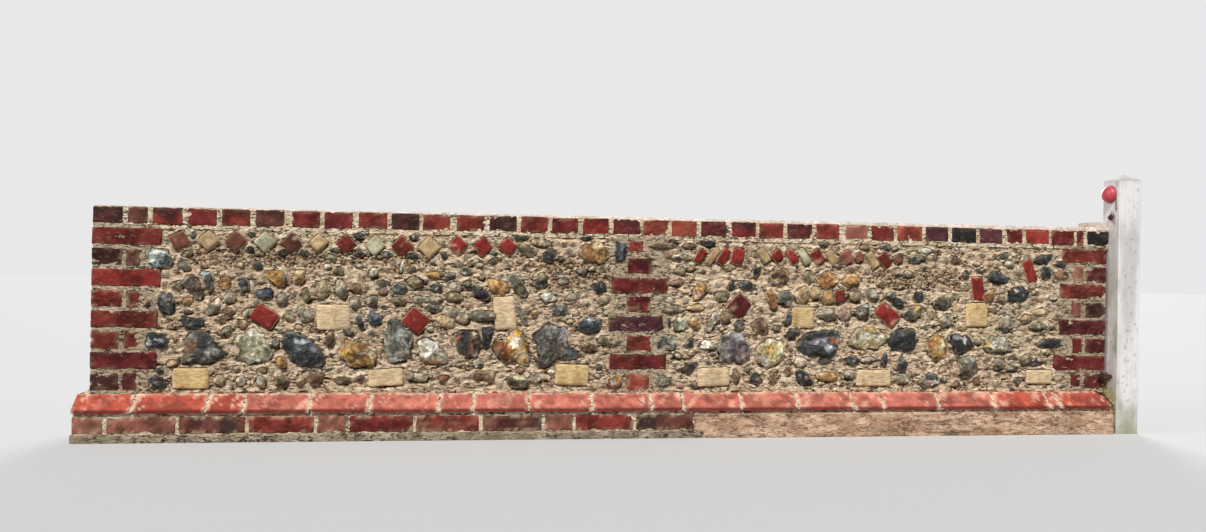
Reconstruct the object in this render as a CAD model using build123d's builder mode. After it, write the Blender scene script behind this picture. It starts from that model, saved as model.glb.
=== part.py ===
from build123d import *
from math import atan2, cos, degrees, radians, sin
import os

os.makedirs("parts", exist_ok=True)

# A garden boundary wall: two flint bays between toothed brick quoins and a brick pier,
# on a bevelled brick plinth, under a course of headers, with a timber post at its right end.
# X runs along the wall, Y away from the street, Z up. The origin is on the ground, midway along.

# Bricks and joints
brick_length = 225.0
brick_width = 105.0
brick_height = 65.0
closer_width = 50.0
joint = 10.0
joint_recess = 4.0
gauge = brick_height + joint

# Wall
wall_length = 4000.0
wall_thickness = brick_length
quoin_courses = 8
left_end = -wall_length / 2
right_end = wall_length / 2
wall_face = wall_thickness / 2

# Heights above the ground
footing_height = 30.0
base_top = footing_height + brick_height
plinth_bottom = base_top + joint
plinth_top = plinth_bottom + brick_height
courses_bottom = plinth_top + joint
courses_height = quoin_courses * gauge - joint
courses_top = courses_bottom + courses_height
courses_mid = courses_bottom + courses_height / 2
coping_bottom = courses_top + joint
coping_top = coping_bottom + brick_height

# Plinth: a squint nose, a bevel back to the wall face, and rows that stop short on the right
plinth_projection = 56.0
plinth_nose_height = 12.0
plinth_face = wall_face + plinth_projection
plinth_inner = plinth_face - brick_width
plinth_arris = plinth_bottom + plinth_nose_height
plinth_left = left_end - 38.0
plinth_right = right_end - 12.0
plinth_end_clip = 28.0
hearting_setback = 6.0

# Base course and footing
base_setback = 8.0
base_face = plinth_face - base_setback
footing_projection = 5.0
footing_face = base_face + footing_projection
footing_left = plinth_left - footing_projection

# Mortar haunching that covers the foot of the right-hand half
haunch_left = 215.0
haunch_top = base_top - 3.0
haunch_top_face = base_face + 5.0
haunch_foot_face = footing_face + 6.0
flaunch_rise = 18.0

# Toothing: even courses are stretchers, odd courses are a header and a closer
long_tooth = brick_length + joint
short_tooth = brick_width + joint + closer_width
tooth_pitch = 2 * gauge
tooth_rows = quoin_courses // 2
first_tooth_mid = courses_bottom + gauge + brick_height / 2
tooth_mid = first_tooth_mid + (tooth_rows - 1) * gauge
pier_tooth_rows = tooth_rows - 1
pier_tooth_mid = first_tooth_mid + (pier_tooth_rows - 1) * gauge
bed_mids = [courses_bottom + course * gauge - joint / 2 for course in range(1, quoin_courses)]

# Flint bays
panel_recess = 6.0
panel_face = wall_face - panel_recess
pier_half = brick_width / 2
bay_left = left_end + short_tooth
bay_width = -pier_half - bay_left
bay_mid = bay_left + bay_width / 2

# Stones that are set out in rows
stone_lip = 1.0
big_flint_count = 9
big_flint_pitch = 162.0
big_flint_radius = 66.0
big_flint_sides = 8
big_flint_rise = 162.0
big_flint_mid = courses_bottom + big_flint_rise
big_flint_proud = 18.0
big_flint_bevel = big_flint_proud - stone_lip
block_width = 120.0
block_height = 78.0
low_block_rise = 54.0
low_block_pitch = 690.0
low_block_mid = courses_bottom + low_block_rise
high_block_rise = 290.0
high_block_pitch = 640.0
high_block_mid = courses_bottom + high_block_rise
block_proud = 5.0
lozenge_count = 13
lozenge_pitch = 99.0
lozenge_side = 54.0
lozenge_start = 132.0
lozenge_mid_x = bay_left + lozenge_start + (lozenge_count - 1) * lozenge_pitch / 2
lozenge_drop = 46.0
lozenge_mid = courses_top - lozenge_drop
lozenge_proud = 6.0
slant_count = 14
slant_pitch = 62.0
slant_width = 34.0
slant_length = 62.0
slant_angle = 28.0
slant_start = 200.0
slant_mid_x = pier_half + slant_start + (slant_count - 1) * slant_pitch / 2

# Cobbles: a row above the high blocks, and short rows between the blocks
cobble_radius = 30.0
cobble_sides = 6
cobble_proud = 12.0
cobble_bevel = cobble_proud - stone_lip
cobble_pitch = 126.0
cobble_rise = 390.0
cobble_mid = courses_bottom + cobble_rise
cobble_clearance = long_tooth - short_tooth
cobble_count = int((bay_width - 2 * cobble_clearance) / cobble_pitch)
low_cobble_pitch = low_block_pitch / 5
outer_cobble_pitch = high_block_pitch + 4 * cobble_pitch

# Coping headers and the mortar skim on top of them
post_gap = joint
post_left = right_end + post_gap
coping_length = post_left - left_end
coping_mid = left_end + coping_length / 2
header_count = round(coping_length / (brick_width + joint))
header_pitch = coping_length / header_count
capping_width = 212.0
capping_thin = 4.0
capping_thick = 18.0
capping_edge = 7.0
capping_flat = capping_width / 2 - capping_edge
capping_end_gap = 3.0
fillet_length = 57.0
fillet_height = 29.0
fillet_width = 120.0
nib_length = 24.0
nib_rise = 10.0

# Bolt and reflector on the left face of the post, one above the other, clear of the fillet
bolt_clearance = 7.0
bolt_washer_radius = 12.0
bolt_washer_thickness = 3.0
bolt_radius = 5.0
upper_bolt_length = 12.0
upper_bolt_height = coping_top + fillet_height + nib_rise + bolt_clearance + bolt_washer_radius
rim_radius = 38.0
rim_thickness = 6.0
rim_bevel = 1.5
reflector_gap = 47.0
reflector_height = upper_bolt_height + bolt_washer_radius + reflector_gap + rim_radius
lens_radius = 36.0
lens_rise = 26.0
lens_steps = 5
lens_turns = [radians(90 * step / lens_steps) for step in range(lens_steps + 1)]
lens_back = post_left - rim_thickness

# Nut on a bolt that stands out from the post, low down in front of the wall face
nut_radius = 17.0
nut_thickness = 24.0
nut_standoff = 18.0
nut_clearance = 4.0
lower_bolt_radius = 7.0
lower_bolt_length = 50.0
lower_bolt_rise = 55.0
lower_bolt_height = courses_bottom + lower_bolt_rise
lower_bolt_y = -wall_face - nut_clearance - nut_radius

# Timber end post, tall enough for the reflector
post_width = 100.0
post_margin = 20.0
post_shoulder = reflector_height + rim_radius + post_margin
post_cap_rise = 28.0
post_cap_flat = 6.0
post_cap_taper = degrees(atan2((post_width - post_cap_flat) / 2, post_cap_rise))
post_arris = 3.0
post_front = -plinth_face
post_mid_x = post_left + post_width / 2
post_mid_y = post_front + post_width / 2
post_back = post_front + post_width
reflector_shift = 4.0
reflector_y = post_mid_y + reflector_shift
packing_top = lower_bolt_height
packing_shoulder_rise = 20.0
packing_shoulder = plinth_bottom + packing_shoulder_rise

# Footing strip, a little wider than the bricks it carries
with BuildPart() as footing_strip:
    with BuildSketch(Plane.YZ.offset(footing_left)):
        with Locations((0, footing_height / 2)):
            Rectangle(2 * footing_face, footing_height)
    extrude(amount=right_end - footing_left)
footing_strip.part.label = "footing_strip"
export_step(footing_strip.part, "parts/footing_strip.step")

# Base course, three half-bricks thick
with BuildPart() as base_course:
    with BuildSketch(Plane.YZ.offset(plinth_left)):
        with Locations((0, footing_height + brick_height / 2)):
            Rectangle(2 * base_face, brick_height)
    extrude(amount=right_end - plinth_left)
base_course.part.label = "base_course"
export_step(base_course.part, "parts/base_course.step")

# Bed joint under the plinth, raked back from both faces
with BuildPart() as plinth_bed_joint:
    with BuildSketch(Plane.YZ.offset(plinth_left + joint_recess)):
        with Locations((0, base_top + joint / 2)):
            Rectangle(2 * (base_face - joint_recess), joint)
    extrude(amount=right_end - plinth_left - joint_recess)
plinth_bed_joint.part.label = "plinth_bed_joint"
export_step(plinth_bed_joint.part, "parts/plinth_bed_joint.step")

# Front row of plinth stretchers, with its right end cut back to a hip
with BuildPart() as plinth_front:
    with BuildSketch(Plane.YZ.offset(plinth_left)):
        with BuildLine():
            Polyline(
                (-plinth_face, plinth_bottom),
                (-plinth_inner, plinth_bottom),
                (-plinth_inner, plinth_top),
                (-wall_face, plinth_top),
                (-plinth_face, plinth_arris),
                close=True,
            )
        make_face()
    extrude(amount=plinth_right - plinth_left)
    with BuildSketch(Plane.XZ.offset(plinth_inner)):
        with BuildLine():
            Polyline(
                (plinth_right, plinth_arris),
                (plinth_right, plinth_top),
                (plinth_right - plinth_end_clip, plinth_top),
                close=True,
            )
        make_face()
    extrude(amount=brick_width, mode=Mode.SUBTRACT)
plinth_front.part.label = "plinth_front"
export_step(plinth_front.part, "parts/plinth_front.step")

# Back row of the plinth, the same the other way round
with BuildPart() as plinth_back:
    mirror(plinth_front.part, about=Plane.XZ)
plinth_back.part.label = "plinth_back"
export_step(plinth_back.part, "parts/plinth_back.step")

# Bricks and mortar between the two plinth rows
with BuildPart() as plinth_hearting:
    with BuildSketch(Plane.YZ.offset(plinth_left + hearting_setback)):
        with Locations((0, plinth_bottom + brick_height / 2)):
            Rectangle(2 * plinth_inner, brick_height)
    extrude(amount=right_end - plinth_left - hearting_setback)
plinth_hearting.part.label = "plinth_hearting"
export_step(plinth_hearting.part, "parts/plinth_hearting.step")

# Bed joint between the plinth and the wall
with BuildPart() as wall_bed_joint:
    with BuildSketch(Plane.YZ.offset(left_end)):
        with Locations((0, plinth_top + joint / 2)):
            Rectangle(2 * (wall_face - joint_recess), joint)
    extrude(amount=wall_length)
wall_bed_joint.part.label = "wall_bed_joint"
export_step(wall_bed_joint.part, "parts/wall_bed_joint.step")

# Sloped mortar that sheds water off the left end of the plinth
with BuildPart() as end_flaunching:
    with BuildSketch(Plane.XZ):
        with BuildLine():
            Polyline(
                (plinth_left + hearting_setback, plinth_top),
                (left_end, plinth_top),
                (left_end, plinth_top + flaunch_rise),
                close=True,
            )
        make_face()
    extrude(amount=wall_face - joint_recess, both=True)
end_flaunching.part.label = "end_flaunching"
export_step(end_flaunching.part, "parts/end_flaunching.step")

# Mortar haunching against the foot of the front, from midway to the right end
with BuildPart() as foot_haunching:
    with BuildSketch(Plane.YZ.offset(haunch_left)):
        with BuildLine():
            Polyline(
                (-base_face, footing_height),
                (-base_face, haunch_top),
                (-haunch_top_face, haunch_top - joint_recess),
                (-haunch_foot_face, 0),
                (-footing_face, 0),
                (-footing_face, footing_height),
                close=True,
            )
        make_face()
    extrude(amount=right_end - haunch_left)
foot_haunching.part.label = "foot_haunching"
export_step(foot_haunching.part, "parts/foot_haunching.step")

# Left quoin: every other course reaches further into the flintwork
with BuildPart() as left_quoin:
    with BuildSketch(Plane.XZ):
        with Locations((left_end + short_tooth / 2, courses_mid)):
            Rectangle(short_tooth, courses_height)
        with Locations((left_end + long_tooth / 2, tooth_mid)):
            with GridLocations(tooth_pitch, tooth_pitch, 1, tooth_rows):
                Rectangle(long_tooth, brick_height)
    extrude(amount=wall_face, both=True)
    for bed_mid in bed_mids:
        with Locations((left_end + short_tooth / 2, 0, bed_mid)):
            with GridLocations(wall_thickness, wall_thickness, 1, 2):
                Box(short_tooth, 2 * joint_recess, joint, mode=Mode.SUBTRACT)
        with Locations((left_end, 0, bed_mid)):
            Box(2 * joint_recess, wall_thickness, joint, mode=Mode.SUBTRACT)
left_quoin.part.label = "left_quoin"
export_step(left_quoin.part, "parts/left_quoin.step")

# Right quoin, of the opposite hand
with BuildPart() as right_quoin:
    mirror(left_quoin.part, about=Plane.YZ)
right_quoin.part.label = "right_quoin"
export_step(right_quoin.part, "parts/right_quoin.step")

# Middle pier: single headers with stretchers that tooth into both bays
with BuildPart() as middle_pier:
    with BuildSketch(Plane.XZ):
        with Locations((0, courses_mid)):
            Rectangle(brick_width, courses_height)
        with Locations((0, pier_tooth_mid)):
            with GridLocations(tooth_pitch, tooth_pitch, 1, pier_tooth_rows):
                Rectangle(brick_length, brick_height)
    extrude(amount=wall_face, both=True)
    for bed_mid in bed_mids:
        with Locations((0, 0, bed_mid)):
            with GridLocations(wall_thickness, wall_thickness, 1, 2):
                Box(brick_width, 2 * joint_recess, joint, mode=Mode.SUBTRACT)
middle_pier.part.label = "middle_pier"
export_step(middle_pier.part, "parts/middle_pier.step")

# Front half of the left bay, with its lozenges, blocks, big flints and cobbles
with BuildPart() as left_panel_front:
    with BuildSketch(Plane.XZ):
        with Locations((bay_mid, courses_mid)):
            Rectangle(bay_width, courses_height)
        with Locations((left_end + long_tooth / 2, tooth_mid)):
            with GridLocations(tooth_pitch, tooth_pitch, 1, tooth_rows):
                Rectangle(long_tooth, brick_height, mode=Mode.SUBTRACT)
        with Locations((0, pier_tooth_mid)):
            with GridLocations(tooth_pitch, tooth_pitch, 1, pier_tooth_rows):
                Rectangle(brick_length, brick_height, mode=Mode.SUBTRACT)
    extrude(amount=panel_face)
    with BuildSketch(Plane.XZ.offset(panel_face)):
        with Locations((bay_mid, cobble_mid)):
            with GridLocations(cobble_pitch, cobble_pitch, cobble_count, 1):
                RegularPolygon(cobble_radius, cobble_sides)
        with Locations((bay_mid, high_block_mid)):
            with GridLocations(cobble_pitch, cobble_pitch, 4, 1):
                RegularPolygon(cobble_radius, cobble_sides)
            with GridLocations(outer_cobble_pitch, cobble_pitch, 2, 1):
                with GridLocations(cobble_pitch, cobble_pitch, 3, 1):
                    RegularPolygon(cobble_radius, cobble_sides)
        with Locations((bay_mid, low_block_mid)):
            with GridLocations(low_block_pitch, low_block_pitch, 2, 1):
                with GridLocations(low_cobble_pitch, low_cobble_pitch, 4, 1):
                    RegularPolygon(cobble_radius, cobble_sides)
    extrude(amount=cobble_proud)
    chamfer(faces().filter_by(Axis.Y).group_by(Axis.Y)[0].edges(), cobble_bevel)
    with BuildSketch(Plane.XZ.offset(panel_face)):
        with Locations((bay_mid, big_flint_mid)):
            with GridLocations(big_flint_pitch, big_flint_pitch, big_flint_count, 1):
                RegularPolygon(big_flint_radius, big_flint_sides)
    extrude(amount=big_flint_proud)
    chamfer(faces().filter_by(Axis.Y).group_by(Axis.Y)[0].edges(), big_flint_bevel)
    with BuildSketch(Plane.XZ.offset(panel_face)):
        with Locations((lozenge_mid_x, lozenge_mid)):
            with GridLocations(lozenge_pitch, lozenge_pitch, lozenge_count, 1):
                Rectangle(lozenge_side, lozenge_side, rotation=45)
    extrude(amount=lozenge_proud)
    with BuildSketch(Plane.XZ.offset(panel_face)):
        with Locations((bay_mid, low_block_mid)):
            with GridLocations(low_block_pitch, low_block_pitch, 3, 1):
                Rectangle(block_width, block_height)
        with Locations((bay_mid, high_block_mid)):
            with GridLocations(high_block_pitch, high_block_pitch, 2, 1):
                Rectangle(block_height, block_width)
    extrude(amount=block_proud)
left_panel_front.part.label = "left_panel_front"
export_step(left_panel_front.part, "parts/left_panel_front.step")

# Back half of the left bay
with BuildPart() as left_panel_back:
    mirror(left_panel_front.part, about=Plane.XZ)
left_panel_back.part.label = "left_panel_back"
export_step(left_panel_back.part, "parts/left_panel_back.step")

# Front half of the right bay, where the row of bricks leans over
with BuildPart() as right_panel_front:
    with BuildSketch(Plane.XZ):
        with Locations((-bay_mid, courses_mid)):
            Rectangle(bay_width, courses_height)
        with Locations((right_end - long_tooth / 2, tooth_mid)):
            with GridLocations(tooth_pitch, tooth_pitch, 1, tooth_rows):
                Rectangle(long_tooth, brick_height, mode=Mode.SUBTRACT)
        with Locations((0, pier_tooth_mid)):
            with GridLocations(tooth_pitch, tooth_pitch, 1, pier_tooth_rows):
                Rectangle(brick_length, brick_height, mode=Mode.SUBTRACT)
    extrude(amount=panel_face)
    with BuildSketch(Plane.XZ.offset(panel_face)):
        with Locations((-bay_mid, cobble_mid)):
            with GridLocations(cobble_pitch, cobble_pitch, cobble_count, 1):
                RegularPolygon(cobble_radius, cobble_sides)
        with Locations((-bay_mid, high_block_mid)):
            with GridLocations(cobble_pitch, cobble_pitch, 4, 1):
                RegularPolygon(cobble_radius, cobble_sides)
            with GridLocations(outer_cobble_pitch, cobble_pitch, 2, 1):
                with GridLocations(cobble_pitch, cobble_pitch, 3, 1):
                    RegularPolygon(cobble_radius, cobble_sides)
        with Locations((-bay_mid, low_block_mid)):
            with GridLocations(low_block_pitch, low_block_pitch, 2, 1):
                with GridLocations(low_cobble_pitch, low_cobble_pitch, 4, 1):
                    RegularPolygon(cobble_radius, cobble_sides)
    extrude(amount=cobble_proud)
    chamfer(faces().filter_by(Axis.Y).group_by(Axis.Y)[0].edges(), cobble_bevel)
    with BuildSketch(Plane.XZ.offset(panel_face)):
        with Locations((-bay_mid, big_flint_mid)):
            with GridLocations(big_flint_pitch, big_flint_pitch, big_flint_count, 1):
                RegularPolygon(big_flint_radius, big_flint_sides)
    extrude(amount=big_flint_proud)
    chamfer(faces().filter_by(Axis.Y).group_by(Axis.Y)[0].edges(), big_flint_bevel)
    with BuildSketch(Plane.XZ.offset(panel_face)):
        with Locations((slant_mid_x, lozenge_mid)):
            with GridLocations(slant_pitch, slant_pitch, slant_count, 1):
                Rectangle(slant_width, slant_length, rotation=slant_angle)
    extrude(amount=lozenge_proud)
    with BuildSketch(Plane.XZ.offset(panel_face)):
        with Locations((-bay_mid, low_block_mid)):
            with GridLocations(low_block_pitch, low_block_pitch, 3, 1):
                Rectangle(block_width, block_height)
        with Locations((-bay_mid, high_block_mid)):
            with GridLocations(high_block_pitch, high_block_pitch, 2, 1):
                Rectangle(block_height, block_width)
    extrude(amount=block_proud)
right_panel_front.part.label = "right_panel_front"
export_step(right_panel_front.part, "parts/right_panel_front.step")

# Back half of the right bay
with BuildPart() as right_panel_back:
    mirror(right_panel_front.part, about=Plane.XZ)
right_panel_back.part.label = "right_panel_back"
export_step(right_panel_back.part, "parts/right_panel_back.step")

# Bed joint under the coping
with BuildPart() as coping_bed_joint:
    with BuildSketch(Plane.YZ.offset(left_end + joint_recess)):
        with Locations((0, courses_top + joint / 2)):
            Rectangle(2 * (wall_face - joint_recess), joint)
    extrude(amount=wall_length - 2 * joint_recess)
coping_bed_joint.part.label = "coping_bed_joint"
export_step(coping_bed_joint.part, "parts/coping_bed_joint.step")

# Coping of headers laid flat, with raked joints between them
with BuildPart() as coping_course:
    with Locations((coping_mid, 0, coping_bottom + brick_height / 2)):
        Box(coping_length, wall_thickness, brick_height)
        with GridLocations(header_pitch, wall_thickness, header_count - 1, 2):
            Box(joint, 2 * joint_recess, brick_height, mode=Mode.SUBTRACT)
coping_course.part.label = "coping_course"
export_step(coping_course.part, "parts/coping_course.step")

# Mortar skim on the coping, with sloped edges, thin on the left and thicker towards the post
with BuildPart() as mortar_capping:
    with BuildSketch(Plane.YZ.offset(left_end + capping_end_gap)):
        with BuildLine():
            Polyline(
                (-capping_width / 2, coping_top),
                (capping_width / 2, coping_top),
                (capping_flat, coping_top + capping_thin),
                (-capping_flat, coping_top + capping_thin),
                close=True,
            )
        make_face()
    with BuildSketch(Plane.YZ.offset(post_left)):
        with BuildLine():
            Polyline(
                (-capping_width / 2, coping_top),
                (capping_width / 2, coping_top),
                (capping_flat, coping_top + capping_thick),
                (-capping_flat, coping_top + capping_thick),
                close=True,
            )
        make_face()
    loft()
mortar_capping.part.label = "mortar_capping"
export_step(mortar_capping.part, "parts/mortar_capping.step")

# Block of mortar against the post, on top of the skim, with a nib at its outer end
with BuildPart() as post_fillet:
    with BuildSketch(Plane.XZ.offset(wall_face - joint_recess)):
        with BuildLine():
            Polyline(
                (post_left - fillet_length, coping_top),
                (post_left, coping_top),
                (post_left, coping_top + fillet_height),
                (post_left - fillet_length + nib_length, coping_top + fillet_height),
                (post_left - fillet_length + nib_length, coping_top + fillet_height + nib_rise),
                (post_left - fillet_length, coping_top + fillet_height + nib_rise),
                close=True,
            )
        make_face()
    extrude(amount=-fillet_width)
    add(mortar_capping.part, mode=Mode.SUBTRACT)
post_fillet.part.label = "post_fillet"
export_step(post_fillet.part, "parts/post_fillet.step")

# Square timber post with a shallow weathered top
with BuildPart() as end_post:
    with BuildSketch(Plane.XY):
        with Locations((post_mid_x, post_mid_y)):
            Rectangle(post_width, post_width)
    extrude(amount=post_shoulder)
    with BuildSketch(Plane.XY.offset(post_shoulder)):
        with Locations((post_mid_x, post_mid_y)):
            Rectangle(post_width, post_width)
    extrude(amount=post_cap_rise, taper=post_cap_taper)
    chamfer(end_post.edges().filter_by(Axis.Z), length=post_arris)
end_post.part.label = "end_post"
export_step(end_post.part, "parts/end_post.step")

# Mortar packed between the foot of the wall and the post
with BuildPart() as post_packing:
    with BuildSketch(Plane.YZ.offset(right_end)):
        with BuildLine():
            Polyline(
                (-base_face, 0),
                (post_back, 0),
                (post_back, packing_top),
                (-wall_face + joint, packing_top),
                (-wall_face, plinth_top),
                (-base_face, packing_shoulder),
                close=True,
            )
        make_face()
    extrude(amount=post_gap)
post_packing.part.label = "post_packing"
export_step(post_packing.part, "parts/post_packing.step")

# Rim of the reflector, screwed flat to the post
with BuildPart() as reflector_rim:
    with Locations(Location((post_left, reflector_y, reflector_height), (0, -90, 0))):
        Cylinder(rim_radius, rim_thickness, align=(Align.CENTER, Align.CENTER, Align.MIN))
    chamfer(reflector_rim.faces().sort_by(Axis.X)[0].edges(), length=rim_bevel)
reflector_rim.part.label = "reflector_rim"
export_step(reflector_rim.part, "parts/reflector_rim.step")

# Domed lens of the reflector, turned about the X axis
with BuildPart() as reflector_lens:
    lens_plane = Plane(
        origin=(lens_back, reflector_y, reflector_height),
        x_dir=(1, 0, 0),
        z_dir=(0, -1, 0),
    )
    with BuildSketch(lens_plane):
        with BuildLine():
            Polyline(
                (0, 0),
                *[(-lens_rise * sin(turn), lens_radius * cos(turn)) for turn in lens_turns],
                close=True,
            )
        make_face()
    revolve(axis=Axis((lens_back, reflector_y, reflector_height), (1, 0, 0)))
reflector_lens.part.label = "reflector_lens"
export_step(reflector_lens.part, "parts/reflector_lens.step")

# Rusted bolt and washer below the reflector
with BuildPart() as upper_bolt:
    with Locations(Location((post_left, post_mid_y, upper_bolt_height), (0, -90, 0))):
        Cylinder(
            bolt_washer_radius,
            bolt_washer_thickness,
            align=(Align.CENTER, Align.CENTER, Align.MIN),
        )
        Cylinder(bolt_radius, upper_bolt_length, align=(Align.CENTER, Align.CENTER, Align.MIN))
upper_bolt.part.label = "upper_bolt"
export_step(upper_bolt.part, "parts/upper_bolt.step")

# Nut on a bolt near the foot of the post, just in front of the wall face
with BuildPart() as lower_bolt:
    with Locations(Location((post_left, lower_bolt_y, lower_bolt_height), (0, -90, 0))):
        Cylinder(
            lower_bolt_radius,
            lower_bolt_length,
            align=(Align.CENTER, Align.CENTER, Align.MIN),
        )
    nut_plane = Plane(
        origin=(post_left - nut_standoff, lower_bolt_y, lower_bolt_height),
        z_dir=(-1, 0, 0),
    )
    with BuildSketch(nut_plane):
        RegularPolygon(nut_radius, 6)
    extrude(amount=nut_thickness)
lower_bolt.part.label = "lower_bolt"
export_step(lower_bolt.part, "parts/lower_bolt.step")
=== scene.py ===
import itertools
import math
from functools import partial

import bpy
import numpy as np
from mathutils import Matrix, Vector


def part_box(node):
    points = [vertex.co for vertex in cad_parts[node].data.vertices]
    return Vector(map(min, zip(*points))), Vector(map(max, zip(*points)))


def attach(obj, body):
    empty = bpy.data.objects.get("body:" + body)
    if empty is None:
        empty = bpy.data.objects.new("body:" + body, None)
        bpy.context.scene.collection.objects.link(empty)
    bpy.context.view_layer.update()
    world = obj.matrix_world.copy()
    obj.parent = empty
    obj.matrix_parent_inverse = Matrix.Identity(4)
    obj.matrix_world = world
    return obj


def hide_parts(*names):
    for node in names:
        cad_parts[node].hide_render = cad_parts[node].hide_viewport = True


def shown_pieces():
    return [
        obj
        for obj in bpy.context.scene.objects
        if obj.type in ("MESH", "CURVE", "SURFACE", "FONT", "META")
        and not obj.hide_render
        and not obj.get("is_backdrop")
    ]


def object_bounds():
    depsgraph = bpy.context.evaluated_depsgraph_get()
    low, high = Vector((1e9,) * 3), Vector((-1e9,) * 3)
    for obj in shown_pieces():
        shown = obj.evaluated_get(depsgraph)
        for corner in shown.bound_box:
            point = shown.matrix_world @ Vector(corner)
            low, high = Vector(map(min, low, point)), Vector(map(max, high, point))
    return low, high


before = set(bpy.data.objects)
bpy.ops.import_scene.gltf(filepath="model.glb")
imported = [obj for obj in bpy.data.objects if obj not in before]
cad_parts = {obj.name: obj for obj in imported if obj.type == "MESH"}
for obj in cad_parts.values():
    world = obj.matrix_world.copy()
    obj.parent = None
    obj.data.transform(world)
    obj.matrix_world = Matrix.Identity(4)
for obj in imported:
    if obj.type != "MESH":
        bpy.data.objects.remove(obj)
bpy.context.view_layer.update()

# Places that come from the CAD frame, in millimetres

MM = 0.001
X, Y, Z = 0, 1, 2


def sides(node):
    """The low and the high side of a CAD node's box along X, Y and Z, in millimetres."""
    low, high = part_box(node)
    return [(low[axis] / MM, high[axis] / MM) for axis in (X, Y, Z)]


(LEFT, _), (_, FACE), (COURSES_BOTTOM, COURSES_TOP) = sides("left_quoin")
_, RIGHT = sides("right_quoin")[X]
(PLINTH_LEFT, PLINTH_RIGHT), _, (PLINTH_BOTTOM, PLINTH_TOP) = sides("plinth_front")
_, PLINTH_FACE = sides("plinth_back")[Y]
_, (_, BASE_FACE), (BASE_BOTTOM, BASE_TOP) = sides("base_course")
(FOOTING_LEFT, _), (_, FOOTING_FACE), _ = sides("footing_strip")
(HAUNCH_LEFT, _), (HAUNCH_FRONT, _), _ = sides("foot_haunching")
COPING_BOTTOM, COPING_TOP = sides("coping_course")[Z]
_, SKIM_FACE = sides("mortar_capping")[Y]
(FILLET_LEFT, FILLET_RIGHT), (FILLET_FRONT, FILLET_BACK), (_, NIB_TOP) = sides("post_fillet")
_, PACKING_TOP = sides("post_packing")[Z]
(POST_LEFT, POST_RIGHT), (POST_FRONT, POST_BACK), (_, POST_TOP) = sides("end_post")
POST_SHOULDER = POST_TOP - 28
PANEL_FACE = FACE - 6
MIDDLE = (LEFT + RIGHT) / 2
GAUGE = 75
BRICK_HEIGHT = 65
BRICK_WIDTH = 105
NOSE_HEIGHT = 12
GROUND_GAP = 0.2


def along(place):
    """A place read along the wall from its left end, as X."""
    return LEFT + place


def course_bottom(course):
    """The bottom of a brick course of the quoins, counted from 1."""
    return COURSES_BOTTOM + (course - 1) * GAUGE


# Repeatable noise


def hashed(cells, seed):
    """A repeatable value from 0 to 1 for each whole-number cell."""
    mixed = cells[..., 0] * 73856093 ^ cells[..., 1] * 19349663 ^ cells[..., 2] * 83492791
    mixed = (mixed ^ (seed * 2654435761)) & 0xFFFFFFFF
    for _ in range(2):
        mixed = ((mixed ^ (mixed >> 16)) * 0x45D9F3B) & 0xFFFFFFFF
    return (mixed ^ (mixed >> 16)) / 0xFFFFFFFF


def noise(points, seed):
    """Smooth noise from -1 to 1, with one bump for each unit of length."""
    cell = np.floor(points).astype(np.int64)
    part = points - cell
    part = part * part * (3 - 2 * part)
    total = np.zeros(points.shape[:-1])
    for corner in itertools.product((0, 1), repeat=3):
        offset = np.array(corner)
        total += np.prod(np.where(offset, part, 1 - part), axis=-1) * hashed(cell + offset, seed)
    return 2 * total - 1


def fractal(points, scale, seed, octaves=3):
    """Noise in several sizes. scale is the size of the largest bumps, in millimetres."""
    points = points / np.array(scale, float)
    total, weight, whole = 0, 1.0, 0.0
    for octave in range(octaves):
        total = total + weight * noise(points * 2.03**octave + 17.3 * octave, seed + octave)
        whole += weight
        weight *= 0.55
    return total / whole


def grains(points, seed):
    """A call for noise at the same points: its scale, what it adds to the seed, and its octaves."""
    return lambda scale, extra, octaves=3: fractal(points, scale, seed + extra, octaves)


def wobble(points, apart, seed):
    """Slow noise for each of the three axes, which bends a shape a little."""
    return np.stack([fractal(points + apart * axis, 60, seed, 2) for axis in range(3)], -1)


def smooth(low, high, value):
    """0 below low, 1 above high, and a smooth step between them."""
    part = np.clip((value - low) / (high - low), 0, 1)
    return part * part * (3 - 2 * part)


# Colours, typed as they look on a screen


def tone(*screen):
    """Screen colours, 0 to 255, as the linear colours that shaders use."""
    value = np.array(screen) / 255
    return np.where(value <= 0.04045, value / 12.92, ((value + 0.055) / 1.055) ** 2.4)


def tones(**screen):
    """Named colours, each of one tone or of several from dark to light."""
    return {name: tone(*value) for name, value in screen.items()}


def mix(one, other, share):
    """one blended towards other by share, which may be an array."""
    share = np.asarray(share)[..., None]
    return one * (1 - share) + other * share


def layered(paint, *layers):
    """paint under layers of a colour and a share each, the last one on top."""
    for colour, share in layers:
        paint = mix(paint, colour, share)
    return paint


BRICK_TONES = tones(
    red=(118, 48, 41), crimson=(104, 38, 38), bright=(138, 48, 42), orange=(146, 68, 52), brown=(92, 54, 46),
    dull=(124, 78, 64), dark=(70, 38, 35), black=(34, 33, 33), maroon=(88, 36, 36), purple=(80, 44, 50),
    pink=(140, 84, 74), faded=(150, 100, 80), salmon=(194, 112, 94), flame=(182, 84, 66),
)
BAT_TONES = BRICK_TONES | tones(stone=(198, 168, 124), pale=(188, 184, 152))
BLOCK_TONES = tones(buff=(206, 176, 124), sand=(210, 184, 146))
SOOT = tone(34, 30, 28)
MORTAR = tone(228, 202, 166)
MORTAR_PALE = tone(244, 226, 198)
MORTAR_SHADE = tone(76, 60, 42)
MORTAR_BROWN = tone(160, 128, 90)
MORTAR_PINK = tone(218, 182, 154)
CORTEX = tone(206, 192, 166)
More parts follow.
